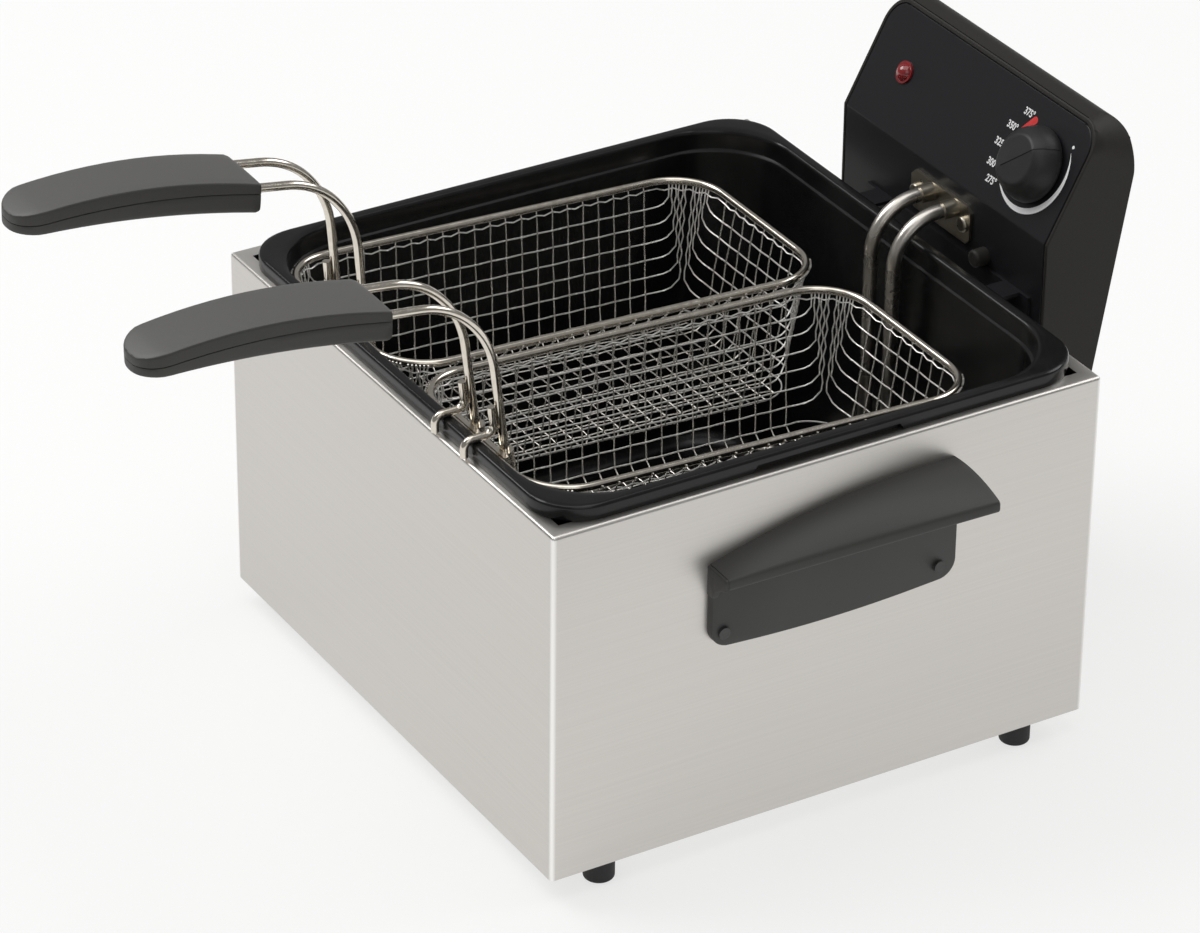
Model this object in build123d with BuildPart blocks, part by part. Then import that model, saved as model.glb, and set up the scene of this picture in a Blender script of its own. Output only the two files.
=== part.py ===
from build123d import *
from math import atan2, cos, hypot, radians, sin, tan
import os

os.makedirs("parts", exist_ok=True)

# Frame: X to the right, Y to the back, Z up, origin in the middle of the housing's underside

# Housing
housing_width = 288.5
housing_depth = 274.3
housing_height = 170.0
sheet_thickness = 0.9
housing_corner = 2.5
flange_x = 8.25
flange_y = 7.45
base_gap = 0.3
base_step = 1.0
base_panel_half_x = 115.0
base_panel_half_y = 88.0

# Feet
foot_height = 12.0
foot_diameter = 14.0
foot_half_x = 135.0
foot_half_y = 108.0
foot_edge = 1.5
foot_screw_diameter = 4.0
foot_screw_head = 7.4
foot_screw_head_height = 2.6
foot_recess_depth = 5.0
foot_nut_width = 7.0
foot_nut_height = 3.2
foot_screw_spare = 0.8

# Fits
running_gap = 0.05
part_gap = 0.3
clear_gap = 0.4

# Oil pot
pot_rim_half_x = 140.0
pot_rim_half_y = 134.0
pot_rim_width = 6.0
pot_rim_height = 7.0
pot_rim_corner = 24.0
pot_inner_corner = 38.0
pot_rim_round = 1.8
pot_wall = 1.4
pot_taper = 4.5
pot_floor_lift = 12.0
pot_floor_round = 10.0
pot_notch_half = 38.0
pot_notch_height = 3.2
pot_notch_depth = 3.0

# Side handles
side_handle_half = 62.0
side_plate_thickness = 4.0
side_plate_foot = 95.5
side_plate_bow = 3.0
side_plate_corner = 9.0
wing_front_height = 134.6
wing_mid_height = 148.3
wing_back_height = 152.3
wing_front_reach = 15.0
wing_mid_reach = 25.0
wing_back_reach = 35.0
wing_front_edge = 134.3
wing_mid_edge = 140.8
wing_back_edge = 147.0
wing_lip = 5.0
wing_thickness = 4.0
wing_crown_out = 0.6
wing_crown_down = 0.2
cheek_thickness = 3.0
cheek_height = 13.0
rivet_front_y = -56.0
rivet_back_y = 53.0
rivet_height = 102.0
rivet_diameter = 3.2
rivet_head = 5.6
rivet_head_height = 1.4

# Control head
head_front = 149.5
head_half_width = 82.0
head_wall = 2.0
head_bottom = 98.0
head_bend_height = 201.5
head_slope = 28.0
head_slope_length = 57.8
head_back_top = 195.0
head_back_bend = 226.0
head_back_bottom = 173.0
head_top_round = 12.0
head_back_round = 20.0
head_corner = 13.0
head_back_corner = 30.0
head_corner_start = 177.0
head_overrun = 6.0
panel_thickness = 2.5
panel_gap = 0.4
panel_top_setback = 2.4
panel_foot_length = 17.0
shell_screw_half = 58.0
shell_screw_diameter = 3.5
shell_screw_head = 6.4
shell_screw_head_height = 2.2
shell_screw_length = 7.0

# Dial side of the control panel
dial_x = 53.2
dial_along = 27.3
knob_diameter = 35.2
knob_edge_height = 2.4
knob_side_diameter = 31.0
knob_side_height = 9.0
knob_top_diameter = 23.0
knob_height = 14.0
pointer_angle = 44.0
pointer_start = 8.5
pointer_width = 0.8
pointer_depth = 0.5
knob_gap = 0.8
shaft_diameter = 6.0
shaft_in_knob = 8.0
thermostat_size = 34.0
thermostat_depth = 20.0
shaft_in_thermostat = 9.0

# Pilot lamp
lens_x = -52.3
lens_along = 28.1
lens_diameter = 8.6
lens_flange = 10.6
lens_flange_height = 1.0
lens_dome = 3.0
lamp_diameter = 7.0
lamp_length = 14.0

# Reset button and inlet on the back
reset_x = -40.0
reset_height = 176.0
reset_diameter = 7.0
reset_stand = 2.5
reset_travel = 2.0
reset_flange = 10.0
reset_flange_height = 2.0
reset_guide_bore = 1.0
reset_body_diameter = 16.0
reset_body_length = 14.0
inlet_x = 35.0
inlet_height = 128.0
inlet_diameter = 18.0
inlet_bore = 9.0
inlet_stand = 7.0
inlet_depth = 12.0
inlet_flange = 24.0
inlet_flange_height = 2.0

# Terminal block inside the head
block_x = 0.0
block_height = 130.0
block_width = 44.0
block_tall = 22.0
block_depth = 14.0
block_slot = 4.0
block_slot_tall = 13.2
block_slot_deep = 7.0
block_slots = 4

# Hanger that carries the head on the back edge of the housing
hanger_left = -58.0
hanger_right = 72.0
hanger_low = 150.0
hanger_sheet = 1.5
hanger_tab_left = -44.0
hanger_tab_right = 59.0
hanger_tab_width = 13.0
hanger_tab_front = 134.6
hanger_lip_gap = 0.6
hanger_lip_height = 12.0
peg_x = 36.0
peg_height = 176.0
peg_diameter = 8.4
peg_stand = 7.0
peg_round = 1.6

# Heating element
element_x = 3.9
element_spacing = 18.1
tube_diameter = 6.6
tube_height = 190.4
tube_drop_y = 115.8
tube_bend = 23.0
tube_foot_bend = 14.0
tube_inside = 10.0
loop_height = 30.0
loop_half_x = 85.0
loop_front = -85.0
plate_left = -22.5
plate_right = 25.0
plate_low = 176.0
plate_high = 195.0
plate_thickness = 1.5
plate_chamfer = 3.0
collar_diameter = 8.4
collar_length = 7.4
plate_screw_left = -17.0
plate_screw_right = 20.6
plate_screw_height = 185.5
plate_screw_diameter = 4.0
plate_screw_head = 7.6
plate_screw_head_height = 2.4
plate_screw_length = 9.0

# Baskets
right_basket_x = 57.5
left_basket_x = -65.5
basket_half_width = 56.85
basket_length = 220.0
basket_depth = 67.0
basket_front = -125.0
basket_rim_height = 170.4
basket_tilt = 2.4
basket_corner = 25.0
basket_inset = 8.0
rim_wire = 3.6
net_thickness = 1.4
net_pitch = 8.3
net_gap = 7.0
net_border = 3.0
net_corner_columns = 2
net_corner_rows = 4
fold_thickness = 1.8
seat_gap = 0.15

# Basket handles, measured from the lower end of the handle wires
toe_back = 8.0
toe_down = 3.4
left_handle_angle = 2.6
handle_wire = 4.0
handle_half_spacing = 12.5
leg_top_y = -7.1
leg_top_z = 56.3
neck_y = -26.65
neck_z = 78.3
leg_bend = 45.0
neck_bend = 38.0
wire_end_y = -108.0
wire_end_z = 87.6
wire_end_bend = 8.0
leg_below = 6.0
socket_diameter = 7.6
socket_length = 10.0
socket_below = 1.5
strap_half = 22.0
strap_tall = 11.0
strap_above = 4.5

# Hanging hooks
hook_wire = 3.6
hook_top = 25.0
hook_reach = 14.7
hook_drop = 7.6
hook_bend = 4.0

# Grips
grip_front_y = -54.5
grip_tip_y = -167.5
grip_end_trim = 0.5
grip_mid_y = -108.0
grip_half_front = 16.6
grip_half_back = 14.0
grip_tip_round = 12.5
grip_top_front = 85.3
grip_top_mid = 94.0
grip_top_tip = 90.5
grip_seam_front = 80.2
grip_seam_mid = 87.2
grip_seam_tip = 84.8
grip_low_front = 70.2
grip_low_mid = 78.4
grip_low_tip = 80.2
grip_seam_gap = 0.3
grip_edge = 2.0
grip_screw_near = -70.0
grip_screw_far = -142.0
grip_screw_near_z = 76.5
grip_screw_far_z = 84.0
grip_screw_head = 5.6
grip_screw_head_height = 1.6
grip_screw_diameter = 2.8
grip_screw_length = 8.0

# Values that follow from the sizes above
housing_low = 0.0
housing_top = housing_low + housing_height
foot_low = housing_low - foot_height
base_low = housing_low + base_step
half_width = housing_width / 2
half_depth = housing_depth / 2
pot_inner_x = pot_rim_half_x - pot_rim_width
pot_inner_y = pot_rim_half_y - pot_rim_width
pot_low = housing_low + pot_floor_lift
slope_sin = sin(radians(head_slope))
slope_cos = cos(radians(head_slope))
tube_left = element_x - element_spacing / 2
tube_right = element_x + element_spacing / 2
plate_front = head_front - plate_thickness


def keep(piece, name):
    piece.part.label = name
    export_step(piece.part, "parts/" + name + ".step")


def above(height):
    return Plane.XY.offset(height)


# Housing shell
with BuildPart() as housing_shell:
    with BuildSketch(above(housing_low)):
        RectangleRounded(housing_width, housing_depth, housing_corner)
    extrude(amount=housing_height)
    with BuildSketch(above(housing_low)):
        RectangleRounded(
            housing_width - 2 * sheet_thickness,
            housing_depth - 2 * sheet_thickness,
            housing_corner - sheet_thickness,
        )
    extrude(amount=housing_height - sheet_thickness, mode=Mode.SUBTRACT)
    with BuildSketch(above(housing_low)):
        Rectangle(housing_width - 2 * flange_x, housing_depth - 2 * flange_y)
    extrude(amount=housing_height, mode=Mode.SUBTRACT)
    with BuildSketch(Plane.YZ):
        with Locations((rivet_front_y, housing_low + rivet_height), (rivet_back_y, housing_low + rivet_height)):
            Circle(rivet_diameter / 2 + running_gap)
    extrude(amount=half_width, both=True, mode=Mode.SUBTRACT)
keep(housing_shell, "housing_shell")

# Base plate: a sheet inside the walls with a panel pressed down flush with their lower edge
with BuildPart() as base_plate:
    with BuildSketch(above(base_low)):
        RectangleRounded(
            housing_width - 2 * sheet_thickness - 2 * base_gap,
            housing_depth - 2 * sheet_thickness - 2 * base_gap,
            housing_corner,
        )
        with GridLocations(2 * foot_half_x, 2 * foot_half_y, 2, 2):
            Circle(foot_screw_diameter / 2 + running_gap, mode=Mode.SUBTRACT)
    extrude(amount=sheet_thickness)
    with BuildSketch(above(housing_low)):
        Rectangle(2 * base_panel_half_x, 2 * base_panel_half_y)
    extrude(amount=base_step)
    with BuildSketch(above(housing_low + sheet_thickness)):
        Rectangle(2 * (base_panel_half_x - sheet_thickness), 2 * (base_panel_half_y - sheet_thickness))
    extrude(amount=base_step, mode=Mode.SUBTRACT)
keep(base_plate, "base_plate")

# Feet
with BuildPart() as feet:
    with BuildSketch(above(foot_low)):
        with GridLocations(2 * foot_half_x, 2 * foot_half_y, 2, 2):
            Circle(foot_diameter / 2)
    extrude(amount=foot_height + base_step)
    fillet(feet.edges().group_by(Axis.Z)[0], foot_edge)
    with BuildSketch(above(foot_low)):
        with GridLocations(2 * foot_half_x, 2 * foot_half_y, 2, 2):
            Circle(foot_screw_head / 2 + part_gap)
    extrude(amount=foot_recess_depth, mode=Mode.SUBTRACT)
    with BuildSketch(above(foot_low)):
        with GridLocations(2 * foot_half_x, 2 * foot_half_y, 2, 2):
            Circle(foot_screw_diameter / 2 + running_gap)
    extrude(amount=foot_height + base_step, mode=Mode.SUBTRACT)
keep(feet, "feet")

# Foot screws and nuts
nut_low = base_low + sheet_thickness
screw_seat = foot_low + foot_recess_depth
with BuildPart() as foot_screws:
    with BuildSketch(above(screw_seat)):
        with GridLocations(2 * foot_half_x, 2 * foot_half_y, 2, 2):
            Circle(foot_screw_head / 2)
    extrude(amount=-foot_screw_head_height)
    with BuildSketch(above(screw_seat)):
        with GridLocations(2 * foot_half_x, 2 * foot_half_y, 2, 2):
            Circle(foot_screw_diameter / 2)
    extrude(amount=nut_low + foot_nut_height + foot_screw_spare - screw_seat)
keep(foot_screws, "foot_screws")

with BuildPart() as foot_nuts:
    with BuildSketch(above(nut_low)):
        with GridLocations(2 * foot_half_x, 2 * foot_half_y, 2, 2):
            RegularPolygon(foot_nut_width / 2, 6, major_radius=False)
            Circle(foot_screw_diameter / 2 + running_gap, mode=Mode.SUBTRACT)
    extrude(amount=foot_nut_height)
keep(foot_nuts, "foot_nuts")

# Oil pot: a tapered tub with a stiff rim that rests on the housing flange
with BuildPart() as oil_pot:
    with BuildSketch(above(pot_low)):
        RectangleRounded(
            2 * (pot_inner_x + pot_wall - pot_taper),
            2 * (pot_inner_y + pot_wall - pot_taper),
            pot_inner_corner + pot_wall,
        )
    with BuildSketch(above(housing_top)):
        RectangleRounded(
            2 * (pot_inner_x + pot_wall),
            2 * (pot_inner_y + pot_wall),
            pot_inner_corner + pot_wall,
        )
    loft()
    fillet(oil_pot.edges().group_by(Axis.Z)[0], pot_floor_round)
    with BuildSketch(above(housing_top)):
        RectangleRounded(2 * pot_rim_half_x, 2 * pot_rim_half_y, pot_rim_corner)
    extrude(amount=pot_rim_height)
    fillet(oil_pot.edges().group_by(Axis.Z)[-1], pot_rim_round)
    with BuildSketch(above(housing_top)):
        for side in (-1, 1):
            with Locations((side * pot_rim_half_x, 0)):
                Rectangle(2 * pot_notch_depth, 2 * pot_notch_half)
    extrude(amount=pot_notch_height, mode=Mode.SUBTRACT)
with BuildPart() as pot_space:
    with BuildSketch(above(pot_low + pot_wall)):
        RectangleRounded(2 * (pot_inner_x - pot_taper), 2 * (pot_inner_y - pot_taper), pot_inner_corner)
    with BuildSketch(above(housing_top)):
        RectangleRounded(2 * pot_inner_x, 2 * pot_inner_y, pot_inner_corner)
    loft()
    fillet(pot_space.edges().group_by(Axis.Z)[0], pot_floor_round - pot_wall)
    with BuildSketch(above(housing_top)):
        RectangleRounded(2 * pot_inner_x, 2 * pot_inner_y, pot_inner_corner)
    extrude(amount=pot_rim_height)
with oil_pot:
    add(pot_space.part, mode=Mode.SUBTRACT)
keep(oil_pot, "oil_pot")

# Side handle: a plate on the wall with a wing that rises and widens towards the back
handle_face = Plane.YZ.offset(half_width)
wing_stations = (
    (-side_handle_half, wing_front_height, wing_front_reach, wing_front_edge),
    (0, wing_mid_height, wing_mid_reach, wing_mid_edge),
    (side_handle_half, wing_back_height, wing_back_reach, wing_back_edge),
)
with BuildPart() as right_side_handle:
    for station_y, wall_height, reach, edge_height in wing_stations:
        crown = wall_height - wing_crown_down * (wall_height - edge_height)
        with BuildSketch(Plane(origin=(half_width, station_y, housing_low), x_dir=(1, 0, 0), z_dir=(0, -1, 0))):
            with BuildLine():
                Polyline(
                    (0, wall_height),
                    (wing_crown_out * reach, crown),
                    (reach, edge_height),
                    (reach, edge_height - wing_lip),
                    (reach - wing_thickness, edge_height - wing_lip),
                    (wing_crown_out * reach - wing_thickness / 2, crown - wing_thickness),
                    (0, wall_height - wing_thickness),
                    close=True,
                )
            make_face()
    loft()
    with BuildSketch(handle_face) as side_plate:
        with BuildLine():
            Spline(
                (-side_handle_half, housing_low + wing_front_height),
                (0, housing_low + wing_mid_height),
                (side_handle_half, housing_low + wing_back_height),
            )
            Line(
                (side_handle_half, housing_low + wing_back_height),
                (side_handle_half, housing_low + side_plate_foot),
            )
            ThreePointArc(
                (side_handle_half, housing_low + side_plate_foot),
                (0, housing_low + side_plate_foot - side_plate_bow),
                (-side_handle_half, housing_low + side_plate_foot),
            )
            Line(
                (-side_handle_half, housing_low + side_plate_foot),
                (-side_handle_half, housing_low + wing_front_height),
            )
        make_face()
        fillet(side_plate.vertices().group_by(Axis.Y)[0], side_plate_corner)
    extrude(amount=side_plate_thickness)
    with BuildSketch(Plane(origin=(half_width, -side_handle_half, housing_low), x_dir=(1, 0, 0), z_dir=(0, -1, 0))):
        with BuildLine():
            Polyline(
                (0, wing_front_height),
                (wing_crown_out * wing_front_reach, wing_front_height),
                (wing_front_reach, wing_front_edge),
                (wing_front_reach, wing_front_edge - wing_lip),
                (side_plate_thickness, wing_front_edge - cheek_height),
                (0, wing_front_edge - cheek_height),
                close=True,
            )
        make_face()
    extrude(amount=-cheek_thickness)
    with BuildSketch(handle_face):
        with Locations((rivet_front_y, housing_low + rivet_height), (rivet_back_y, housing_low + rivet_height)):
            Circle(rivet_diameter / 2 + running_gap)
    extrude(amount=side_plate_thickness, mode=Mode.SUBTRACT)
keep(right_side_handle, "right_side_handle")

with BuildPart() as left_side_handle:
    add(right_side_handle.part.mirror(Plane.YZ))
keep(left_side_handle, "left_side_handle")

# Handle rivets
rivet_outer = half_width + side_plate_thickness
rivet_inner = half_width - sheet_thickness
with BuildPart() as handle_rivets:
    for side in (-1, 1):
        wall = Plane(origin=(0, 0, 0), x_dir=(0, 1, 0), z_dir=(side, 0, 0))
        spots = (
            (rivet_front_y, side * (housing_low + rivet_height)),
            (rivet_back_y, side * (housing_low + rivet_height)),
        )
        with BuildSketch(wall.offset(rivet_inner - rivet_head_height)):
            with Locations(*spots):
                Circle(rivet_diameter / 2)
        extrude(amount=rivet_outer - rivet_inner + 2 * rivet_head_height)
        with BuildSketch(wall.offset(rivet_outer)):
            with Locations(*spots):
                Circle(rivet_head / 2)
        extrude(amount=rivet_head_height)
        with BuildSketch(wall.offset(rivet_inner)):
            with Locations(*spots):
                Circle(rivet_head / 2)
        extrude(amount=-rivet_head_height)
keep(handle_rivets, "handle_rivets")

# Control head: sloped panel frame, local X along the width and local Y up the slope
bend_height = housing_low + head_bend_height
slope_top_y = head_front + head_slope_length * slope_sin
slope_top_z = bend_height + head_slope_length * slope_cos
panel_face = Plane(origin=(0, head_front, bend_height), x_dir=(1, 0, 0), z_dir=(0, -slope_cos, slope_sin))
head_low = housing_low + head_bottom
back_bend_z = housing_low + head_back_bend

# Slanted back wall, local X to the left seen from the front and local Y up the wall
back_lean = atan2(head_back_top - head_back_bottom, head_back_bend - head_bottom)
back_face = Plane(
    origin=(0, head_back_bottom, head_low),
    x_dir=(-1, 0, 0),
    z_dir=(0, cos(back_lean), -sin(back_lean)),
)
reset_spot = (-reset_x, (reset_height - head_bottom) / cos(back_lean))
inlet_spot = (-inlet_x, (inlet_height - head_bottom) / cos(back_lean))

# Rear shell outside and its inside space share one outline, drawn twice with an inset
def head_outline(inset):
    """The head as seen from the front, its top corners rounder towards the back."""
    half = head_half_width - inset
    top = slope_top_z - inset
    low = head_low - head_overrun
    faces = []
    for corner in (head_corner - inset, head_back_corner - inset):
        with BuildSketch() as face:
            with BuildLine():
                Polyline((-half, low), (-half, top), (half, top), (half, low), close=True)
            make_face()
            fillet(face.vertices().group_by(Axis.Y)[-1], corner)
        faces.append(face.sketch)
    with BuildPart() as outline:
        with BuildSketch(Plane.XZ.offset(-head_corner_start)):
            add(faces[0])
        extrude(amount=2 * head_corner_start)
        with BuildSketch(Plane.XZ.offset(-head_corner_start)):
            add(faces[0])
        with BuildSketch(Plane.XZ.offset(-head_back_top - head_overrun)):
            add(faces[1])
        loft()
    return outline.part


with BuildPart() as control_rear_shell:
    with BuildSketch(Plane.YZ) as shell_side:
        with BuildLine():
            Polyline(
                (head_front, head_low),
                (head_front, bend_height),
                (slope_top_y, slope_top_z),
                (head_back_top, slope_top_z),
                (head_back_top, back_bend_z),
                (head_back_bottom, head_low),
                close=True,
            )
        make_face()
        shell_back = shell_side.vertices().group_by(Axis.X)[-1].sort_by(Axis.Y)
        fillet(shell_back[-1], head_top_round)
        shell_bend = shell_side.vertices().sort_by_distance((head_back_top, back_bend_z))[0]
        fillet(shell_bend, head_back_round)
    extrude(amount=head_half_width + head_overrun, both=True)
    add(head_outline(0), mode=Mode.INTERSECT)
with BuildPart() as shell_space:
    with BuildSketch(Plane.YZ) as space_side:
        with BuildLine():
            Polyline(
                (0, head_low + head_wall),
                (0, bend_height),
                (slope_top_y - head_wall * slope_sin, slope_top_z - head_wall),
                (head_back_top - head_wall, slope_top_z - head_wall),
                (head_back_top - head_wall, back_bend_z),
                (head_back_bottom - head_wall + head_wall * tan(back_lean), head_low + head_wall),
                close=True,
            )
        make_face()
        space_back = space_side.vertices().group_by(Axis.X)[-1].sort_by(Axis.Y)
        fillet(space_back[-1], head_top_round - head_wall)
        space_bend = space_side.vertices().sort_by_distance((head_back_top - head_wall, back_bend_z))[0]
        fillet(space_bend, head_back_round)
    extrude(amount=head_half_width + head_overrun, both=True)
    add(head_outline(head_wall), mode=Mode.INTERSECT)
with control_rear_shell:
    add(shell_space.part, mode=Mode.SUBTRACT)
    with BuildSketch(back_face):
        with Locations(reset_spot):
            Circle(reset_diameter / 2 + clear_gap)
        with Locations(inlet_spot):
            Circle(inlet_diameter / 2 + part_gap)
    extrude(amount=2 * head_wall, both=True, mode=Mode.SUBTRACT)
    with BuildSketch(above(head_low)):
        with Locations((0, head_front + panel_foot_length / 2 + panel_thickness)):
            with GridLocations(shell_screw_half, 0, 3, 1):
                Circle(shell_screw_diameter / 2 + running_gap)
    extrude(amount=head_wall, mode=Mode.SUBTRACT)
keep(control_rear_shell, "control_rear_shell")

# Front panel: one bent plate with a foot that the shell is screwed to
panel_half = head_half_width - head_wall - panel_gap
panel_low = head_low + head_wall
panel_length = head_slope_length - panel_top_setback
panel_top_y = head_front + panel_length * slope_sin
panel_top_z = bend_height + panel_length * slope_cos
panel_back = head_front + panel_thickness
panel_bend_inside = bend_height - panel_thickness * tan(radians(head_slope / 2))
with BuildPart() as control_front_panel:
    with BuildSketch(Plane.YZ):
        with BuildLine():
            Polyline(
                (head_front, panel_low),
                (head_front, bend_height),
                (panel_top_y, panel_top_z),
                (panel_top_y + panel_thickness * slope_cos, panel_top_z - panel_thickness * slope_sin),
                (panel_back, panel_bend_inside),
                (panel_back, panel_low + panel_thickness),
                (panel_back + panel_foot_length, panel_low + panel_thickness),
                (panel_back + panel_foot_length, panel_low),
                close=True,
            )
        make_face()
    extrude(amount=panel_half, both=True)
    with BuildSketch(Plane.XZ) as panel_outline:
        with BuildLine():
            Polyline(
                (-panel_half, panel_low),
                (-panel_half, panel_top_z),
                (panel_half, panel_top_z),
                (panel_half, panel_low),
                close=True,
            )
        make_face()
        fillet(panel_outline.vertices().group_by(Axis.Y)[-1], head_corner - head_wall - panel_gap)
    extrude(amount=2 * head_back_top, both=True, mode=Mode.INTERSECT)
    with BuildSketch(panel_face):
        with Locations((dial_x, dial_along)):
            Circle(shaft_diameter / 2 + running_gap)
        with Locations((lens_x, lens_along)):
            Circle(lens_diameter / 2 + running_gap)
    extrude(amount=2 * panel_thickness, both=True, mode=Mode.SUBTRACT)
    with BuildSketch(Plane.XZ.offset(-head_front)):
        with Locations((tube_left, housing_low + tube_height), (tube_right, housing_low + tube_height)):
            Circle(tube_diameter / 2 + clear_gap)
        with Locations(
            (plate_screw_left, housing_low + plate_screw_height),
            (plate_screw_right, housing_low + plate_screw_height),
        ):
            Circle(plate_screw_diameter / 2 + running_gap)
    extrude(amount=-panel_thickness, mode=Mode.SUBTRACT)
    with BuildSketch(above(panel_low)):
        with Locations((0, head_front + panel_foot_length / 2 + panel_thickness)):
            with GridLocations(shell_screw_half, 0, 3, 1):
                Circle(shell_screw_diameter / 2 + running_gap)
    extrude(amount=panel_thickness, mode=Mode.SUBTRACT)
keep(control_front_panel, "control_front_panel")

# Screws that hold the shell to the foot of the panel
with BuildPart() as shell_screws:
    with BuildSketch(above(head_low)):
        with Locations((0, head_front + panel_foot_length / 2 + panel_thickness)):
            with GridLocations(shell_screw_half, 0, 3, 1):
                Circle(shell_screw_head / 2)
    extrude(amount=-shell_screw_head_height)
    with BuildSketch(above(head_low)):
        with Locations((0, head_front + panel_foot_length / 2 + panel_thickness)):
            with GridLocations(shell_screw_half, 0, 3, 1):
                Circle(shell_screw_diameter / 2)
    extrude(amount=shell_screw_length)
keep(shell_screws, "shell_screws")


def across(spot):
    """Plane through the panel's outward normal at a spot, local Y outward."""
    return Plane(
        origin=panel_face.from_local_coords((spot[0], spot[1], 0)),
        x_dir=(1, 0, 0),
        z_dir=(0, -slope_sin, -slope_cos),
    )


# Pilot lamp lens and the lamp behind it
lens_section = across((lens_x, lens_along))
lens_back = panel_thickness + lens_flange_height
dome_radius = ((lens_diameter / 2) ** 2 + lens_dome**2) / (2 * lens_dome)
dome_shoulder = (dome_radius**2 - (lens_diameter / 4) ** 2) ** 0.5 - dome_radius + lens_dome
with BuildPart() as indicator_lens:
    with BuildSketch(lens_section):
        with BuildLine():
            Polyline(
                (0, lens_flange_height + lens_dome),
                (0, -lens_back),
                (lens_diameter / 2, -lens_back),
                (lens_diameter / 2, 0),
                (lens_flange / 2, 0),
                (lens_flange / 2, lens_flange_height),
                (lens_diameter / 2, lens_flange_height),
            )
            ThreePointArc(
                (lens_diameter / 2, lens_flange_height),
                (lens_diameter / 4, lens_flange_height + dome_shoulder),
                (0, lens_flange_height + lens_dome),
            )
        make_face()
    revolve(axis=Axis(lens_section.origin, panel_face.z_dir))
keep(indicator_lens, "indicator_lens")

with BuildPart() as indicator_lamp:
    with BuildSketch(panel_face.offset(-lens_back - part_gap)):
        with Locations((lens_x, lens_along)):
            Circle(lamp_diameter / 2)
    extrude(amount=-lamp_length)
keep(indicator_lamp, "indicator_lamp")

# Thermostat behind the dial
with BuildPart() as thermostat_body:
    with BuildSketch(panel_face.offset(-panel_thickness)):
        with Locations((dial_x, dial_along)):
            Rectangle(thermostat_size, thermostat_size)
    extrude(amount=-thermostat_depth)
    with BuildSketch(panel_face.offset(-panel_thickness)):
        with Locations((dial_x, dial_along)):
            Circle(shaft_diameter / 2 + running_gap)
    extrude(amount=-shaft_in_thermostat - part_gap, mode=Mode.SUBTRACT)
keep(thermostat_body, "thermostat_body")

# Knob and its shaft turn together
knob_section = across((dial_x, dial_along))
with BuildPart() as control_knob:
    with BuildSketch(knob_section):
        with BuildLine():
            Polyline(
                (knob_top_diameter / 2, knob_height),
                (0, knob_height),
                (0, knob_gap),
                (knob_diameter / 2, knob_gap),
                (knob_diameter / 2, knob_gap + knob_edge_height),
            )
            ThreePointArc(
                (knob_diameter / 2, knob_gap + knob_edge_height),
                (knob_side_diameter / 2, knob_side_height),
                (knob_top_diameter / 2, knob_height),
            )
        make_face()
    revolve(axis=Axis(knob_section.origin, panel_face.z_dir))
    with BuildSketch(panel_face.offset(knob_height)):
        with Locations(Location((dial_x, dial_along), pointer_angle)):
            with Locations((-pointer_start, 0)):
                Rectangle(
                    pointer_start + knob_diameter / 2,
                    pointer_width,
                    align=(Align.MIN, Align.CENTER),
                )
    extrude(amount=-pointer_depth, mode=Mode.SUBTRACT)
    with BuildSketch(panel_face):
        with Locations((dial_x, dial_along)):
            Circle(shaft_diameter / 2 + running_gap)
    extrude(amount=knob_gap + shaft_in_knob, mode=Mode.SUBTRACT)
keep(control_knob, "control_knob")

with BuildPart() as knob_shaft:
    with BuildSketch(panel_face.offset(knob_gap + shaft_in_knob)):
        with Locations((dial_x, dial_along)):
            Circle(shaft_diameter / 2)
    extrude(amount=-(knob_gap + shaft_in_knob + panel_thickness + shaft_in_thermostat))
keep(knob_shaft, "knob_shaft")

# Reset button in its guide on the back wall
wall_inside = -head_wall - clear_gap / 4
button_seat = wall_inside - clear_gap
with BuildPart() as reset_button:
    with BuildSketch(back_face.offset(reset_stand)):
        with Locations(reset_spot):
            Circle(reset_diameter / 2)
    extrude(amount=button_seat - reset_stand)
    with BuildSketch(back_face.offset(button_seat)):
        with Locations(reset_spot):
            Circle(reset_flange / 2)
    extrude(amount=-reset_flange_height)
keep(reset_button, "reset_button")

button_room = clear_gap + reset_flange_height + reset_travel + reset_guide_bore
with BuildPart() as reset_switch:
    with BuildSketch(back_face.offset(wall_inside)):
        with Locations(reset_spot):
            Circle(reset_body_diameter / 2)
    extrude(amount=-reset_body_length)
    with BuildSketch(back_face.offset(wall_inside)):
        with Locations(reset_spot):
            Circle(reset_flange / 2 + clear_gap)
    extrude(amount=-button_room, mode=Mode.SUBTRACT)
keep(reset_switch, "reset_switch")

# Inlet for the supply lead
with BuildPart() as power_inlet:
    with BuildSketch(back_face):
        with Locations(inlet_spot):
            Circle(inlet_flange / 2)
    extrude(amount=inlet_flange_height)
    with BuildSketch(back_face.offset(inlet_stand)):
        with Locations(inlet_spot):
            Circle(inlet_diameter / 2)
    extrude(amount=-inlet_stand - inlet_depth)
    with BuildSketch(back_face.offset(inlet_stand)):
        with Locations(inlet_spot):
            Circle(inlet_bore / 2)
    extrude(amount=-inlet_stand - inlet_depth, mode=Mode.SUBTRACT)
keep(power_inlet, "power_inlet")

# Terminal block on the inside of the panel
with BuildPart() as terminal_block:
    with BuildSketch(Plane.XZ.offset(-panel_back)):
        with Locations((block_x, housing_low + block_height)):
            Rectangle(block_width, block_tall)
    extrude(amount=-block_depth)
    with BuildSketch(Plane.XZ.offset(-panel_back - block_depth)):
        with Locations((block_x, housing_low + block_height)):
            with GridLocations(block_width / block_slots, 0, block_slots, 1):
                Rectangle(block_slot, block_slot_tall)
    extrude(amount=block_slot_deep, mode=Mode.SUBTRACT)
keep(terminal_block, "terminal_block")

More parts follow.
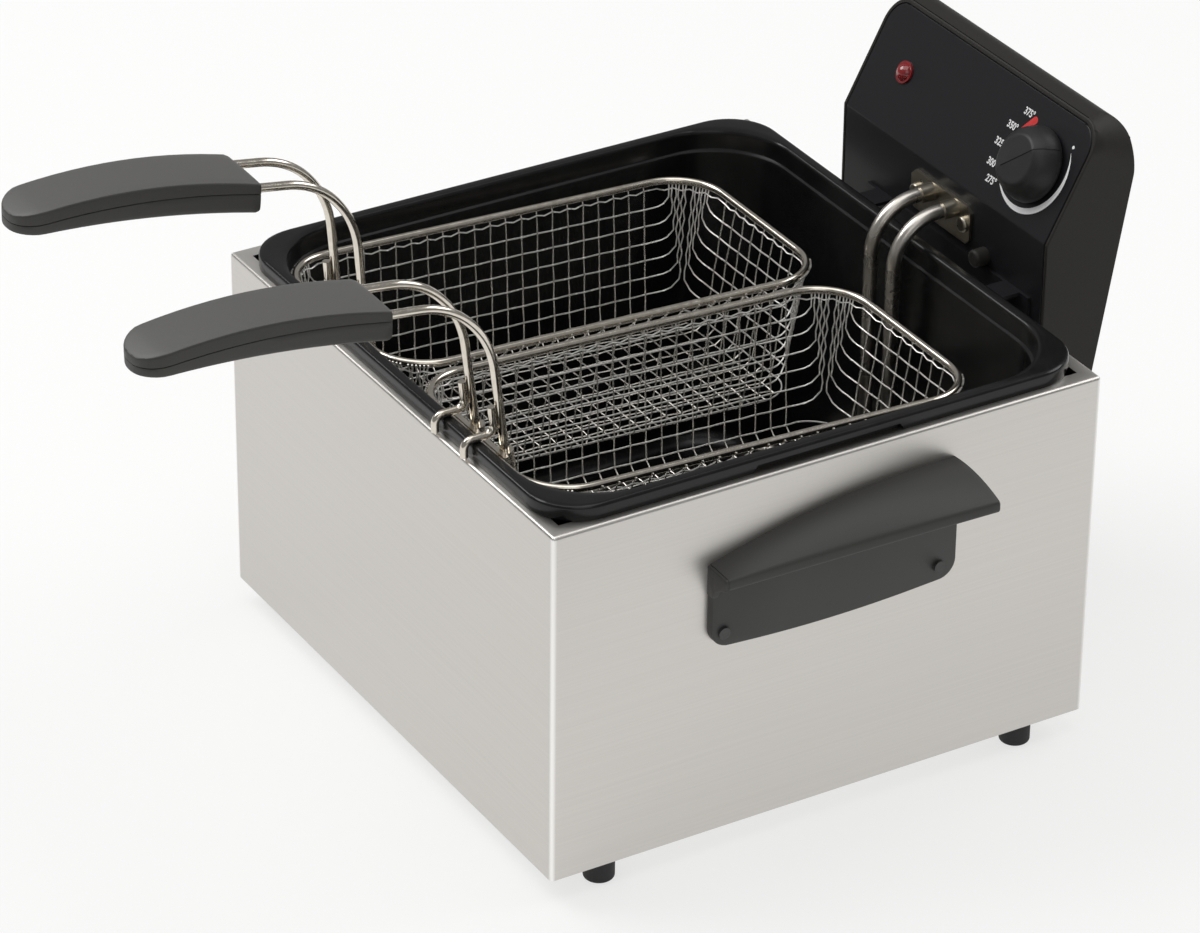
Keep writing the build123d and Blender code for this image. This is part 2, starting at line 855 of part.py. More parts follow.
# Hanger that carries the head on the back edge of the housing
hanger_front = head_front - hanger_sheet
lip_y = half_depth + hanger_lip_gap
with BuildPart() as hanger_bracket:
    with BuildSketch(Plane.XZ.offset(-head_front)):
        with Locations(
            (
                (hanger_left + hanger_right) / 2,
                (housing_low + hanger_low + housing_top + hanger_sheet) / 2,
            )
        ):
            Rectangle(hanger_right - hanger_left, housing_height - hanger_low + hanger_sheet)
    extrude(amount=hanger_sheet)
    for tab_x in (hanger_tab_left, hanger_tab_right):
        with BuildSketch(above(housing_top)):
            with Locations((tab_x, (hanger_tab_front + hanger_front) / 2)):
                Rectangle(hanger_tab_width, hanger_front - hanger_tab_front)
        extrude(amount=hanger_sheet)
        with BuildSketch(above(housing_top)):
            with Locations((tab_x, lip_y + hanger_sheet / 2)):
                Rectangle(hanger_tab_width, hanger_sheet)
        extrude(amount=-hanger_lip_height)
keep(hanger_bracket, "hanger_bracket")

with BuildPart() as locating_peg:
    with BuildSketch(Plane.XZ.offset(-head_front)):
        with Locations((peg_x, housing_low + peg_height)):
            Circle(peg_diameter / 2)
    extrude(amount=peg_stand)
    fillet(locating_peg.edges().group_by(Axis.Y)[0], peg_round)
keep(locating_peg, "locating_peg")

# Heating element: one bent tube, down the back wall and round the floor of the pot
tube_z = housing_low + tube_height
loop_z = housing_low + loop_height
tube_start = panel_back + tube_inside
with BuildPart() as heating_element:
    with BuildLine() as tube_path:
        FilletPolyline(
            (tube_left, tube_start, tube_z),
            (tube_left, tube_drop_y, tube_z),
            (tube_left, tube_drop_y, loop_z),
            (-loop_half_x, tube_drop_y, loop_z),
            (-loop_half_x, loop_front, loop_z),
            (loop_half_x, loop_front, loop_z),
            (loop_half_x, tube_drop_y, loop_z),
            (tube_right, tube_drop_y, loop_z),
            (tube_right, tube_drop_y, tube_z),
            (tube_right, tube_start, tube_z),
            radius=[
                tube_bend,
                tube_foot_bend,
                tube_bend,
                tube_bend,
                tube_bend,
                tube_bend,
                tube_foot_bend,
                tube_bend,
            ],
        )
    with BuildSketch(Plane(origin=(tube_left, tube_start, tube_z), z_dir=(0, -1, 0))):
        Circle(tube_diameter / 2)
    sweep()
keep(heating_element, "heating_element")

with BuildPart() as element_plate:
    with BuildSketch(Plane.XZ.offset(-head_front)):
        with Locations(((plate_left + plate_right) / 2, housing_low + (plate_low + plate_high) / 2)):
            Rectangle(plate_right - plate_left, plate_high - plate_low)
    extrude(amount=plate_thickness)
    chamfer(element_plate.edges().filter_by(Axis.Y), plate_chamfer)
    with BuildSketch(Plane.XZ.offset(-head_front)):
        with Locations((tube_left, tube_z), (tube_right, tube_z)):
            Circle(tube_diameter / 2 + running_gap)
        with Locations(
            (plate_screw_left, housing_low + plate_screw_height),
            (plate_screw_right, housing_low + plate_screw_height),
        ):
            Circle(plate_screw_diameter / 2 + running_gap)
    extrude(amount=plate_thickness, mode=Mode.SUBTRACT)
keep(element_plate, "element_plate")

with BuildPart() as element_collars:
    with BuildSketch(Plane.XZ.offset(-plate_front)):
        with Locations((tube_left, tube_z), (tube_right, tube_z)):
            Circle(collar_diameter / 2)
            Circle(tube_diameter / 2 + running_gap, mode=Mode.SUBTRACT)
    extrude(amount=collar_length)
keep(element_collars, "element_collars")

with BuildPart() as element_plate_screws:
    with BuildSketch(Plane.XZ.offset(-plate_front)):
        with Locations(
            (plate_screw_left, housing_low + plate_screw_height),
            (plate_screw_right, housing_low + plate_screw_height),
        ):
            Circle(plate_screw_head / 2)
    extrude(amount=plate_screw_head_height)
    fillet(element_plate_screws.edges().group_by(Axis.Y)[0], plate_screw_head_height / 2)
    with BuildSketch(Plane.XZ.offset(-plate_front)):
        with Locations(
            (plate_screw_left, housing_low + plate_screw_height),
            (plate_screw_right, housing_low + plate_screw_height),
        ):
            Circle(plate_screw_diameter / 2)
    extrude(amount=-plate_screw_length)
keep(element_plate_screws, "element_plate_screws")


def direction(base, local):
    """A direction given in a plane's own axes."""
    return base.x_dir * local[0] + base.y_dir * local[1] + base.z_dir * local[2]


def leaning_plane(base, origin, x_dir, z_dir):
    """A plane given in another plane's own axes."""
    return Plane(
        origin=base.from_local_coords(origin),
        x_dir=direction(base, x_dir),
        z_dir=direction(base, z_dir),
    )


def net(plane, low, high, name):
    """A flat net between two corners, holed in a square grid."""
    wide = high[0] - low[0]
    tall = high[1] - low[1]
    columns = int((wide - 2 * net_border) // net_pitch)
    rows = int((tall - 2 * net_border) // net_pitch)
    with BuildPart() as sheet:
        with BuildSketch(plane):
            with Locations(((low[0] + high[0]) / 2, (low[1] + high[1]) / 2)):
                Rectangle(wide, tall)
                with GridLocations(net_pitch, net_pitch, columns, rows):
                    Rectangle(net_gap, net_gap, mode=Mode.SUBTRACT)
        extrude(amount=net_thickness / 2, both=True)
    keep(sheet, name)


def make_basket(side, centre_x, handle_angle):
    tilt = radians(basket_tilt)
    rim_z = housing_low + basket_rim_height
    basket = Plane(origin=(centre_x, basket_front, rim_z), x_dir=(1, 0, 0), z_dir=(0, sin(tilt), cos(tilt)))
    lean = atan2(basket_inset, basket_depth)
    lean_sin = sin(lean)
    lean_cos = cos(lean)
    slant = basket_depth / lean_cos - seat_gap - net_thickness * lean_sin
    below_rim = rim_wire / 2 + seat_gap
    corner_x = basket_half_width - basket_corner
    corner_back = basket_length - basket_corner
    fold_gap = part_gap
    bulge = basket_corner * (1 - cos(radians(45)))

    # Rim wire
    with BuildPart() as rim:
        with BuildLine(basket):
            Line((0, 0), (corner_x, 0))
            ThreePointArc((corner_x, 0), (basket_half_width - bulge, bulge), (basket_half_width, basket_corner))
            Line((basket_half_width, basket_corner), (basket_half_width, corner_back))
            ThreePointArc(
                (basket_half_width, corner_back),
                (basket_half_width - bulge, basket_length - bulge),
                (corner_x, basket_length),
            )
            Line((corner_x, basket_length), (-corner_x, basket_length))
            ThreePointArc(
                (-corner_x, basket_length),
                (bulge - basket_half_width, basket_length - bulge),
                (-basket_half_width, corner_back),
            )
            Line((-basket_half_width, corner_back), (-basket_half_width, basket_corner))
            ThreePointArc((-basket_half_width, basket_corner), (bulge - basket_half_width, bulge), (-corner_x, 0))
            Line((-corner_x, 0), (0, 0))
        with BuildSketch(Plane(origin=basket.origin, z_dir=basket.x_dir)):
            Circle(rim_wire / 2)
        sweep()
    keep(rim, side + "_basket_rim")

    # Four walls of net and the floor
    outer_sign = 1 if centre_x > 0 else -1
    for sign in (outer_sign, -outer_sign):
        wall = leaning_plane(
            basket,
            (sign * basket_half_width, 0, 0),
            (0, 1, 0),
            (lean_cos, 0, -sign * lean_sin),
        )
        place = "_basket_outer_net" if sign == outer_sign else "_basket_inner_net"
        net(wall, (basket_corner + fold_gap, -slant), (corner_back - fold_gap, -below_rim), side + place)
    front_wall = leaning_plane(basket, (0, 0, 0), (1, 0, 0), (0, -lean_cos, -lean_sin))
    net(front_wall, (-corner_x + fold_gap, -slant), (corner_x - fold_gap, -below_rim), side + "_basket_front_net")
    back_wall = leaning_plane(basket, (0, basket_length, 0), (1, 0, 0), (0, -lean_cos, lean_sin))
    net(back_wall, (-corner_x + fold_gap, -slant), (corner_x - fold_gap, -below_rim), side + "_basket_back_net")

    floor_wide = 2 * (basket_half_width - basket_inset)
    floor_long = basket_length - 2 * basket_inset
    columns = 2 * int((floor_wide / 2 - net_border) // net_pitch)
    rows = 2 * int((floor_long / 2 - net_border) // net_pitch)
    with BuildPart() as floor_net:
        with BuildSketch(basket.offset(-basket_depth)):
            with Locations((0, basket_length / 2)):
                RectangleRounded(floor_wide, floor_long, basket_corner - basket_inset)
                with GridLocations(net_pitch, net_pitch, columns - net_corner_columns, rows):
                    Rectangle(net_gap, net_gap, mode=Mode.SUBTRACT)
                with GridLocations(net_pitch, net_pitch, columns, rows - net_corner_rows):
                    Rectangle(net_gap, net_gap, mode=Mode.SUBTRACT)
        extrude(amount=-net_thickness)
    keep(floor_net, side + "_basket_floor_net")

    # Gathered net in the four upright corners
    with BuildPart() as folds:
        for corner_sign in (-1, 1):
            for corner_y, into in ((basket_corner, -1), (corner_back, 1)):
                fold_section = leaning_plane(
                    basket,
                    (corner_sign * corner_x, corner_y, 0),
                    (corner_sign, 0, 0),
                    (0, -corner_sign, 0),
                )
                with BuildSketch(fold_section):
                    with BuildLine():
                        Polyline(
                            (basket_corner - below_rim * lean_sin - fold_thickness / 2, -below_rim),
                            (basket_corner - below_rim * lean_sin + fold_thickness / 2, -below_rim),
                            (basket_corner - basket_inset + fold_thickness / 2, -basket_depth + seat_gap),
                            (basket_corner - basket_inset - fold_thickness / 2, -basket_depth + seat_gap),
                            close=True,
                        )
                    make_face()
                revolve(
                    axis=Axis(fold_section.origin, basket.z_dir),
                    revolution_arc=corner_sign * into * 90,
                )
    keep(folds, side + "_basket_corner_folds")

    # Handle frame at the lower end of the handle wires
    turn = radians(handle_angle)
    toe = (centre_x, basket_front + toe_back, rim_z - toe_down)
    handle = Plane(origin=toe, x_dir=(1, 0, 0), z_dir=(0, sin(turn), cos(turn)))
    profile = leaning_plane(handle, (0, 0, 0), (0, 1, 0), (1, 0, 0))
    leg_length = hypot(leg_top_y, leg_top_z)
    leg_y = leg_top_y / leg_length
    leg_z = leg_top_z / leg_length

    # Handle wire: one wire that runs up, into the grip and back
    wire_bends = [leg_bend, neck_bend, wire_end_bend, wire_end_bend, neck_bend, leg_bend]
    wire_points = []
    for sign in (1, -1):
        leg = [
            (sign * handle_half_spacing, -leg_below * leg_y, -leg_below * leg_z),
            (sign * handle_half_spacing, leg_top_y, leg_top_z),
            (sign * handle_half_spacing, neck_y, neck_z),
            (sign * handle_half_spacing, wire_end_y, wire_end_z),
        ]
        wire_points = wire_points + leg[::sign]
    wire_start = leaning_plane(handle, wire_points[0], (1, 0, 0), (0, leg_y, leg_z))
    with BuildPart() as handle_rod:
        with BuildLine(handle):
            FilletPolyline(*wire_points, radius=wire_bends)
        with BuildSketch(wire_start):
            Circle(handle_wire / 2)
        sweep()
    keep(handle_rod, side + "_handle_wire")

    # Bracket behind the front rim that holds the wire ends
    strap_front = rim_wire / 2 + seat_gap - toe_back
    strap_back = part_gap - socket_diameter / 2
    with BuildPart() as bracket:
        with BuildSketch(handle.offset(strap_above - strap_tall)):
            with Locations((0, (strap_front + strap_back) / 2)):
                Rectangle(2 * strap_half, strap_back - strap_front)
        extrude(amount=strap_tall)
        for sign in (1, -1):
            socket_start = leaning_plane(
                handle,
                (
                    sign * handle_half_spacing,
                    -(leg_below + socket_below) * leg_y,
                    -(leg_below + socket_below) * leg_z,
                ),
                (1, 0, 0),
                (0, leg_y, leg_z),
            )
            with BuildSketch(socket_start):
                Circle(socket_diameter / 2)
            extrude(amount=socket_length)
        for sign in (1, -1):
            socket_floor = leaning_plane(
                handle,
                (sign * handle_half_spacing, -leg_below * leg_y, -leg_below * leg_z),
                (1, 0, 0),
                (0, leg_y, leg_z),
            )
            with BuildSketch(socket_floor):
                Circle(handle_wire / 2 + running_gap)
            extrude(amount=socket_length, mode=Mode.SUBTRACT)
    keep(bracket, side + "_handle_bracket")

    # Hooks welded to the front of the handle legs
    hook_run = housing_top + pot_rim_height + hook_wire / 2 + seat_gap - toe[2]
    hook_side = -(handle_wire + hook_wire) / 2 - running_gap
    hook_points = (
        (hook_top * leg_y / leg_z + hook_side / leg_z, hook_top),
        (hook_run * leg_y / leg_z + hook_side / leg_z, hook_run),
        (hook_run * leg_y / leg_z + hook_side - hook_reach, hook_run),
        (hook_run * leg_y / leg_z + hook_side - hook_reach, hook_run - hook_drop),
    )
    with BuildPart() as hooks:
        for sign in (1, -1):
            hook_profile = leaning_plane(handle, (sign * handle_half_spacing, 0, 0), (0, 1, 0), (1, 0, 0))
            with BuildLine(hook_profile):
                FilletPolyline(*hook_points, radius=hook_bend)
            hook_end = leaning_plane(
                handle,
                (sign * handle_half_spacing, hook_points[0][0], hook_points[0][1]),
                (1, 0, 0),
                (0, -leg_y, -leg_z),
            )
            with BuildSketch(hook_end):
                Circle(hook_wire / 2)
            sweep()
    keep(hooks, side + "_hanging_hooks")

    # Square groove in the grip for the handle wire
    groove_half = handle_wire / 2 + 2 * running_gap
    run_length = hypot(wire_end_y - neck_y, wire_end_z - neck_z)
    run_y = groove_half * (wire_end_y - neck_y) / run_length
    run_z = groove_half * (wire_end_z - neck_z) / run_length
    groove_tail = [
        (wire_end_y + run_y - run_z, wire_end_z + run_z + run_y),
        (wire_end_y + run_y + run_z, wire_end_z + run_z - run_y),
    ]
    groove = groove_tail + [(neck_y + run_z, neck_z - run_y), (neck_y - run_z, neck_z + run_y)]
    bend_y = wire_end_bend * (wire_end_y - neck_y) / run_length
    bend_z = wire_end_bend * (wire_end_z - neck_z) / run_length
    groove_end = groove_tail + [
        (wire_end_y - bend_y + run_z, wire_end_z - bend_z - run_y),
        (wire_end_y - bend_y - run_z, wire_end_z - bend_z + run_y),
    ]

    # Grip in two halves, cut from one plan outline
    with BuildSketch(handle) as grip_plan:
        with BuildLine():
            Polyline(
                (-grip_half_front, grip_front_y - grip_end_trim),
                (grip_half_front, grip_front_y - grip_end_trim),
                (grip_half_back, grip_tip_y + grip_end_trim),
                (-grip_half_back, grip_tip_y + grip_end_trim),
                close=True,
            )
        make_face()
        fillet(grip_plan.vertices().group_by(Axis.Y)[0], grip_tip_round)
    screw_spots = ((grip_screw_near, grip_screw_near_z), (grip_screw_far, grip_screw_far_z))
    halves = (
        (
            "_grip_upper",
            (grip_top_front, grip_top_mid, grip_top_tip),
            (grip_seam_front, grip_seam_mid, grip_seam_tip),
            0,
        ),
        (
            "_grip_lower",
            (grip_seam_front, grip_seam_mid, grip_seam_tip),
            (grip_low_front, grip_low_mid, grip_low_tip),
            grip_seam_gap,
        ),
    )
    for half_name, upper, lower, drop in halves:
        with BuildPart() as half:
            with BuildSketch(profile):
                with BuildLine():
                    ThreePointArc(
                        (grip_front_y, upper[0] - drop),
                        (grip_mid_y, upper[1] - drop),
                        (grip_tip_y, upper[2] - drop),
                    )
                    Line((grip_tip_y, upper[2] - drop), (grip_tip_y, lower[2]))
                    ThreePointArc(
                        (grip_tip_y, lower[2]),
                        (grip_mid_y, lower[1]),
                        (grip_front_y, lower[0]),
                    )
                    Line((grip_front_y, lower[0]), (grip_front_y, upper[0] - drop))
                make_face()
            extrude(amount=2 * grip_half_front, both=True)
            extrude(grip_plan.sketch, amount=2 * grip_top_mid, mode=Mode.INTERSECT)
            if drop == 0:
                fillet(half.faces().sort_by(Axis.Z)[-1].edges(), grip_edge)
            for sign in (1, -1):
                with BuildSketch(leaning_plane(handle, (sign * handle_half_spacing, 0, 0), (0, 1, 0), (1, 0, 0))):
                    with BuildLine():
                        Polyline(*groove, close=True)
                    make_face()
                extrude(amount=groove_half, both=True, mode=Mode.SUBTRACT)
            with BuildSketch(profile):
                with BuildLine():
                    Polyline(*groove_end, close=True)
                make_face()
            extrude(amount=handle_half_spacing, both=True, mode=Mode.SUBTRACT)
            for screw_y, screw_z in screw_spots:
                with BuildSketch(handle.offset(screw_z)):
                    with Locations((0, screw_y)):
                        Circle(grip_screw_diameter / 2 + running_gap)
                extrude(amount=grip_screw_length, mode=Mode.SUBTRACT)
                with BuildSketch(handle.offset(screw_z)):
                    with Locations((0, screw_y)):
                        Circle(grip_screw_head / 2 + part_gap)
                extrude(amount=-grip_screw_length, mode=Mode.SUBTRACT)
        keep(half, side + half_name)

    with BuildPart() as grip_screws:
        for screw_y, screw_z in screw_spots:
            with BuildSketch(handle.offset(screw_z)):
                with Locations((0, screw_y)):
                    Circle(grip_screw_head / 2)
            extrude(amount=-grip_screw_head_height)
            with BuildSketch(handle.offset(screw_z)):
                with Locations((0, screw_y)):
                    Circle(grip_screw_diameter / 2)
            extrude(amount=grip_screw_length)
    keep(grip_screws, side + "_grip_screws")


make_basket("right", right_basket_x, 0.0)
make_basket("left", left_basket_x, left_handle_angle)
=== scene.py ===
from math import cos, pi, radians, sin

import bpy
from mathutils import Matrix, Vector


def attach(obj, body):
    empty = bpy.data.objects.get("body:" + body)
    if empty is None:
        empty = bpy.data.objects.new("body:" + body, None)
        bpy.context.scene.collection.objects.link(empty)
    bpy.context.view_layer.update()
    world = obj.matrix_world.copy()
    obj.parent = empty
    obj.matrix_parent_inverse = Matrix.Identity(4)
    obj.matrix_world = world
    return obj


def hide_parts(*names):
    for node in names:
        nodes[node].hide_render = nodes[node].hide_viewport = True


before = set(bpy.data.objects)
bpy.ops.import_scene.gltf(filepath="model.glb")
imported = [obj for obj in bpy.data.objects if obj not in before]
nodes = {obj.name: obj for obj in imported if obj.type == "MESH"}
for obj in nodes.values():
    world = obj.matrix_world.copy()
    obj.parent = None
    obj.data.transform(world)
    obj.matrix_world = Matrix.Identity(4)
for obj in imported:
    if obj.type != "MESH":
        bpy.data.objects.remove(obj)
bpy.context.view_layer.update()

mm = 0.001


# Camera: its turn, lift and roll in degrees, and its place along its own right, up and back
camera_turn = 59.0549
camera_lift = 30.1850
camera_roll = 0.6017
camera_place = (-0.023663, 0.079439, 2.444366)
camera_lens = 160.74


def place_camera():
    turn = radians(camera_turn)
    lift = radians(camera_lift)
    roll = radians(camera_roll)
    back = Vector((sin(turn) * cos(lift), -cos(turn) * cos(lift), sin(lift)))
    level = Vector((cos(turn), sin(turn), 0))
    rise = back.cross(level)
    right = level * cos(roll) + rise * sin(roll)
    up = rise * cos(roll) - level * sin(roll)
    place = right * camera_place[0] + up * camera_place[1] + back * camera_place[2]
    lens = bpy.data.cameras.new("camera")
    lens.sensor_fit = "HORIZONTAL"
    lens.sensor_width = 36
    lens.lens = camera_lens
    lens.clip_end = 50
    camera = bpy.data.objects.new("camera", lens)
    bpy.context.scene.collection.objects.link(camera)
    camera.matrix_world = Matrix(
        (
            (right.x, up.x, back.x, place.x),
            (right.y, up.y, back.y, place.y),
            (right.z, up.z, back.z, place.z),
            (0, 0, 0, 1),
        )
    )
    bpy.context.scene.camera = camera


# Modelling helpers
def start_clean():
    if bpy.context.object and bpy.context.object.mode != "OBJECT":
        bpy.ops.object.mode_set(mode="OBJECT")
    bpy.ops.object.select_all(action="DESELECT")


def pick(piece):
    start_clean()
    piece.select_set(True)
    bpy.context.view_layer.objects.active = piece


def settle(piece):
    """Place, turn and size go into the mesh."""
    pick(piece)
    bpy.ops.object.transform_apply(location=True, rotation=True, scale=True)


def face_outwards(piece, weld=None):
    pick(piece)
    bpy.ops.object.mode_set(mode="EDIT")
    bpy.ops.mesh.select_all(action="SELECT")
    if weld:
        bpy.ops.mesh.remove_doubles(threshold=weld)
    bpy.ops.mesh.normals_make_consistent(inside=False)
    bpy.ops.object.mode_set(mode="OBJECT")


def new_piece(name, points, faces):
    """A mesh from points in millimetres."""
    mesh = bpy.data.meshes.new(name)
    mesh.from_pydata([(x * mm, y * mm, z * mm) for x, y, z in points], [], faces)
    piece = bpy.data.objects.new(name, mesh)
    bpy.context.scene.collection.objects.link(piece)
    return piece


def ring_faces(rings, count):
    """Faces between neighbouring rings that all have the same number of points."""
    faces = []
    for ring in range(rings - 1):
        low = ring * count
        high = low + count
        for spot in range(count):
            after = (spot + 1) % count
            faces.append((low + spot, low + after, high + after, high + spot))
    return faces


def apply_all(piece):
    pick(piece)
    for step in list(piece.modifiers):
        bpy.ops.object.modifier_apply(modifier=step.name)


def smooth(piece, angle=35):
    pick(piece)
    bpy.ops.object.shade_smooth_by_angle(angle=radians(angle))


def bevel(piece, width, segments=3, angle=30):
    step = piece.modifiers.new("edge", "BEVEL")
    step.width = width
    step.segments = segments
    step.limit_method = "ANGLE"
    step.angle_limit = radians(angle)
    return step


def keep_flats(piece):
    """Large faces keep their own normal, so only the rounded edges shade."""
    flats = piece.modifiers.new("flats", "WEIGHTED_NORMAL")
    flats.keep_sharp = True
    flats.weight = 100
    apply_all(piece)


def finish_piece(piece, name, body, slot, look, *stands_for):
    piece.name = name
    piece.data.name = name
    piece.data.materials.clear()
    piece.data.materials.append(look)
    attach(piece, body)
    if stands_for:
        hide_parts(*stands_for)
    return piece


# Finishes
def new_look(name):
    look = bpy.data.materials.new(name)
    look.use_nodes = True
    tree = look.node_tree
    return look, tree, tree.nodes["Principled BSDF"]


def grain(tree, stretch, scale, detail=3.0, rough=0.55):
    """A noise on the piece's own coordinates, stretched along its axes."""
    place = tree.nodes.new("ShaderNodeTexCoord")
    turn = tree.nodes.new("ShaderNodeMapping")
    turn.inputs["Scale"].default_value = stretch
    speck = tree.nodes.new("ShaderNodeTexNoise")
    speck.inputs["Scale"].default_value = scale
    speck.inputs["Detail"].default_value = detail
    speck.inputs["Roughness"].default_value = rough
    tree.links.new(place.outputs["Object"], turn.inputs["Vector"])
    tree.links.new(turn.outputs["Vector"], speck.inputs["Vector"])
    return speck


def shades(tree, source, low, high, start=0.3, end=0.7):
    ramp = tree.nodes.new("ShaderNodeValToRGB")
    ramp.color_ramp.elements[0].position = start
    ramp.color_ramp.elements[1].position = end
    ramp.color_ramp.elements[0].color = (*low, 1)
    ramp.color_ramp.elements[1].color = (*high, 1)
    tree.links.new(source.outputs["Fac"], ramp.inputs["Fac"])
    return ramp


def between(tree, source, low, high):
    span = tree.nodes.new("ShaderNodeMapRange")
    span.inputs["From Min"].default_value = 0.25
    span.inputs["From Max"].default_value = 0.75
    span.inputs["To Min"].default_value = low
    span.inputs["To Max"].default_value = high
    tree.links.new(source.outputs["Fac"], span.inputs["Value"])
    return span


def relief(tree, shader, source, strength, distance):
    bump = tree.nodes.new("ShaderNodeBump")
    bump.inputs["Strength"].default_value = strength
    bump.inputs["Distance"].default_value = distance
    tree.links.new(source.outputs["Fac"], bump.inputs["Height"])
    tree.links.new(bump.outputs["Normal"], shader.inputs["Normal"])


def plain_look(name, low, high, rough, metal, scale, strength, distance, stretch=(1, 1, 1)):
    """Colour, roughness and relief from one grain."""
    look, tree, shader = new_look(name)
    shader.inputs["Metallic"].default_value = metal
    speck = grain(tree, stretch, scale)
    tree.links.new(shades(tree, speck, low, high).outputs["Color"], shader.inputs["Base Color"])
    tree.links.new(between(tree, speck, rough[0], rough[1]).outputs["Result"], shader.inputs["Roughness"])
    relief(tree, shader, speck, strength, distance)
    return look, tree, shader


# The housing's outer size, the width of its folded top edge and the width of the painted highlight strip at
# its upright corners
housing_wide = 0.2885
housing_deep = 0.2743
housing_tall = 0.170
front_flange = 0.00745
side_flange = 0.00825
corner_highlight_width = 0.0022
# Colour of the painted highlight on the housing's upright corners
painted_highlight_steel = (0.98, 0.97, 0.95, 1)
steel_look, steel_tree, steel_shader = plain_look(
    "brushed_steel", (0.640, 0.618, 0.586), (0.675, 0.653, 0.619),
    rough=(0.35, 0.41), metal=1.0, scale=1.0, strength=0.018, distance=0.0001, stretch=(5, 5, 1400),
)
steel_shader.inputs["Anisotropic"].default_value = 0.4


def paint_corner_highlight(tree, shader, half_x, half_y, width):
    """The upright corners of the housing are painted brighter than its walls: a painted highlight where light
    catches the corner folds.
    """
    place = tree.nodes.new("ShaderNodeTexCoord")
    axes = tree.nodes.new("ShaderNodeSeparateXYZ")
    tree.links.new(place.outputs["Object"], axes.inputs["Vector"])
    near = []
    for axis, half in (("X", half_x), ("Y", half_y)):
        size = tree.nodes.new("ShaderNodeMath")
        size.operation = "ABSOLUTE"
        tree.links.new(axes.outputs[axis], size.inputs[0])
        edge = tree.nodes.new("ShaderNodeMapRange")
        edge.inputs["From Min"].default_value = half - width
        edge.inputs["From Max"].default_value = half - 0.3 * width
        tree.links.new(size.outputs["Value"], edge.inputs["Value"])
        near.append(edge)
    both = tree.nodes.new("ShaderNodeMath")
    both.operation = "MULTIPLY"
    tree.links.new(near[0].outputs["Result"], both.inputs[0])
    tree.links.new(near[1].outputs["Result"], both.inputs[1])
    mix = tree.nodes.new("ShaderNodeMix")
    mix.data_type = "RGBA"
    walls = shader.inputs["Base Color"].links[0].from_socket
    tree.links.new(both.outputs["Value"], mix.inputs["Factor"])
    tree.links.new(walls, mix.inputs["A"])
    mix.inputs["B"].default_value = painted_highlight_steel
    tree.links.new(mix.outputs["Result"], shader.inputs["Base Color"])


# Paint the highlight strip down the housing's upright corners
paint_corner_highlight(steel_tree, steel_shader, housing_wide / 2, housing_deep / 2, corner_highlight_width)
flat_steel_look, _, _ = plain_look(
    "base_sheet", (0.68, 0.67, 0.64), (0.78, 0.77, 0.74),
    rough=(0.35, 0.5), metal=1.0, scale=1.0, strength=0.05, distance=0.0002, stretch=(900, 8, 8),
)
enamel_look, _, enamel_shader = plain_look(
    "pot_enamel", (0.006, 0.006, 0.006), (0.009, 0.009, 0.009),
    rough=(0.20, 0.24), metal=0.0, scale=90, strength=0.004, distance=0.0001,
)
enamel_shader.inputs["Specular IOR Level"].default_value = 0.35
panel_look, _, panel_shader = plain_look(
    "panel_black", (0.0086, 0.0086, 0.0104), (0.0118, 0.0118, 0.0136),
    rough=(0.34, 0.42), metal=0.0, scale=2600, strength=0.05, distance=0.00005,
)
panel_shader.inputs["Specular IOR Level"].default_value = 0.25
shell_look, _, shell_shader = plain_look(
    "shell_black", (0.0190, 0.0180, 0.0158), (0.0262, 0.0248, 0.0220),
    rough=(0.42, 0.52), metal=0.0, scale=1800, strength=0.10, distance=0.0001,
)
shell_shader.inputs["Specular IOR Level"].default_value = 0.2
knob_look, _, knob_shader = plain_look(
    "knob_black", (0.014, 0.014, 0.014), (0.020, 0.020, 0.020),
    rough=(0.36, 0.48), metal=0.0, scale=1600, strength=0.12, distance=0.0001,
)
knob_shader.inputs["Specular IOR Level"].default_value = 0.35
grip_look, _, _ = plain_look(
    "grip_charcoal", (0.036, 0.0355, 0.033), (0.046, 0.045, 0.042),
    rough=(0.48, 0.60), metal=0.0, scale=1500, strength=0.16, distance=0.00012,
)
# Painted light: a lighter copy of the grip charcoal for the grips' upward faces, standing in for the light
# falling on their tops
lit_grip_top_look, _, _ = plain_look(
    "grip_painted_lit_top", (0.086, 0.085, 0.081), (0.104, 0.103, 0.098),
    rough=(0.46, 0.58), metal=0.0, scale=1500, strength=0.16, distance=0.00012,
)
wing_look, _, _ = plain_look(
    "handle_charcoal", (0.033, 0.033, 0.031), (0.041, 0.0405, 0.038),
    rough=(0.44, 0.56), metal=0.0, scale=1500, strength=0.16, distance=0.00012,
)
wire_look, _, _ = plain_look(
    "nickel_wire", (0.66, 0.61, 0.53), (0.76, 0.71, 0.63),
    rough=(0.13, 0.19), metal=1.0, scale=260, strength=0.01, distance=0.0001,
)
# Painted light: lit and shaded copies of one nickel wire; the level hoops are paler and less metallic than
# the upright wires, standing in for the top light they catch
shaded_upright_wire_look, _, _ = plain_look(
    "shaded_nickel_wire", (0.76, 0.73, 0.67), (0.86, 0.83, 0.77),
    rough=(0.20, 0.28), metal=0.75, scale=260, strength=0.01, distance=0.0001,
)
lit_hoop_wire_look, _, _ = plain_look(
    "lit_nickel_wire", (0.92, 0.90, 0.86), (0.97, 0.95, 0.91),
    rough=(0.22, 0.30), metal=0.5, scale=260, strength=0.01, distance=0.0001,
)
tube_look, _, _ = plain_look(
    "element_tube", (0.54, 0.51, 0.46), (0.64, 0.61, 0.56),
    rough=(0.24, 0.32), metal=1.0, scale=60, strength=0.01, distance=0.0001,
)
plate_look, _, _ = plain_look(
    "nickel_plate", (0.38, 0.35, 0.29), (0.46, 0.425, 0.355),
    rough=(0.26, 0.34), metal=1.0, scale=120, strength=0.02, distance=0.0001,
)
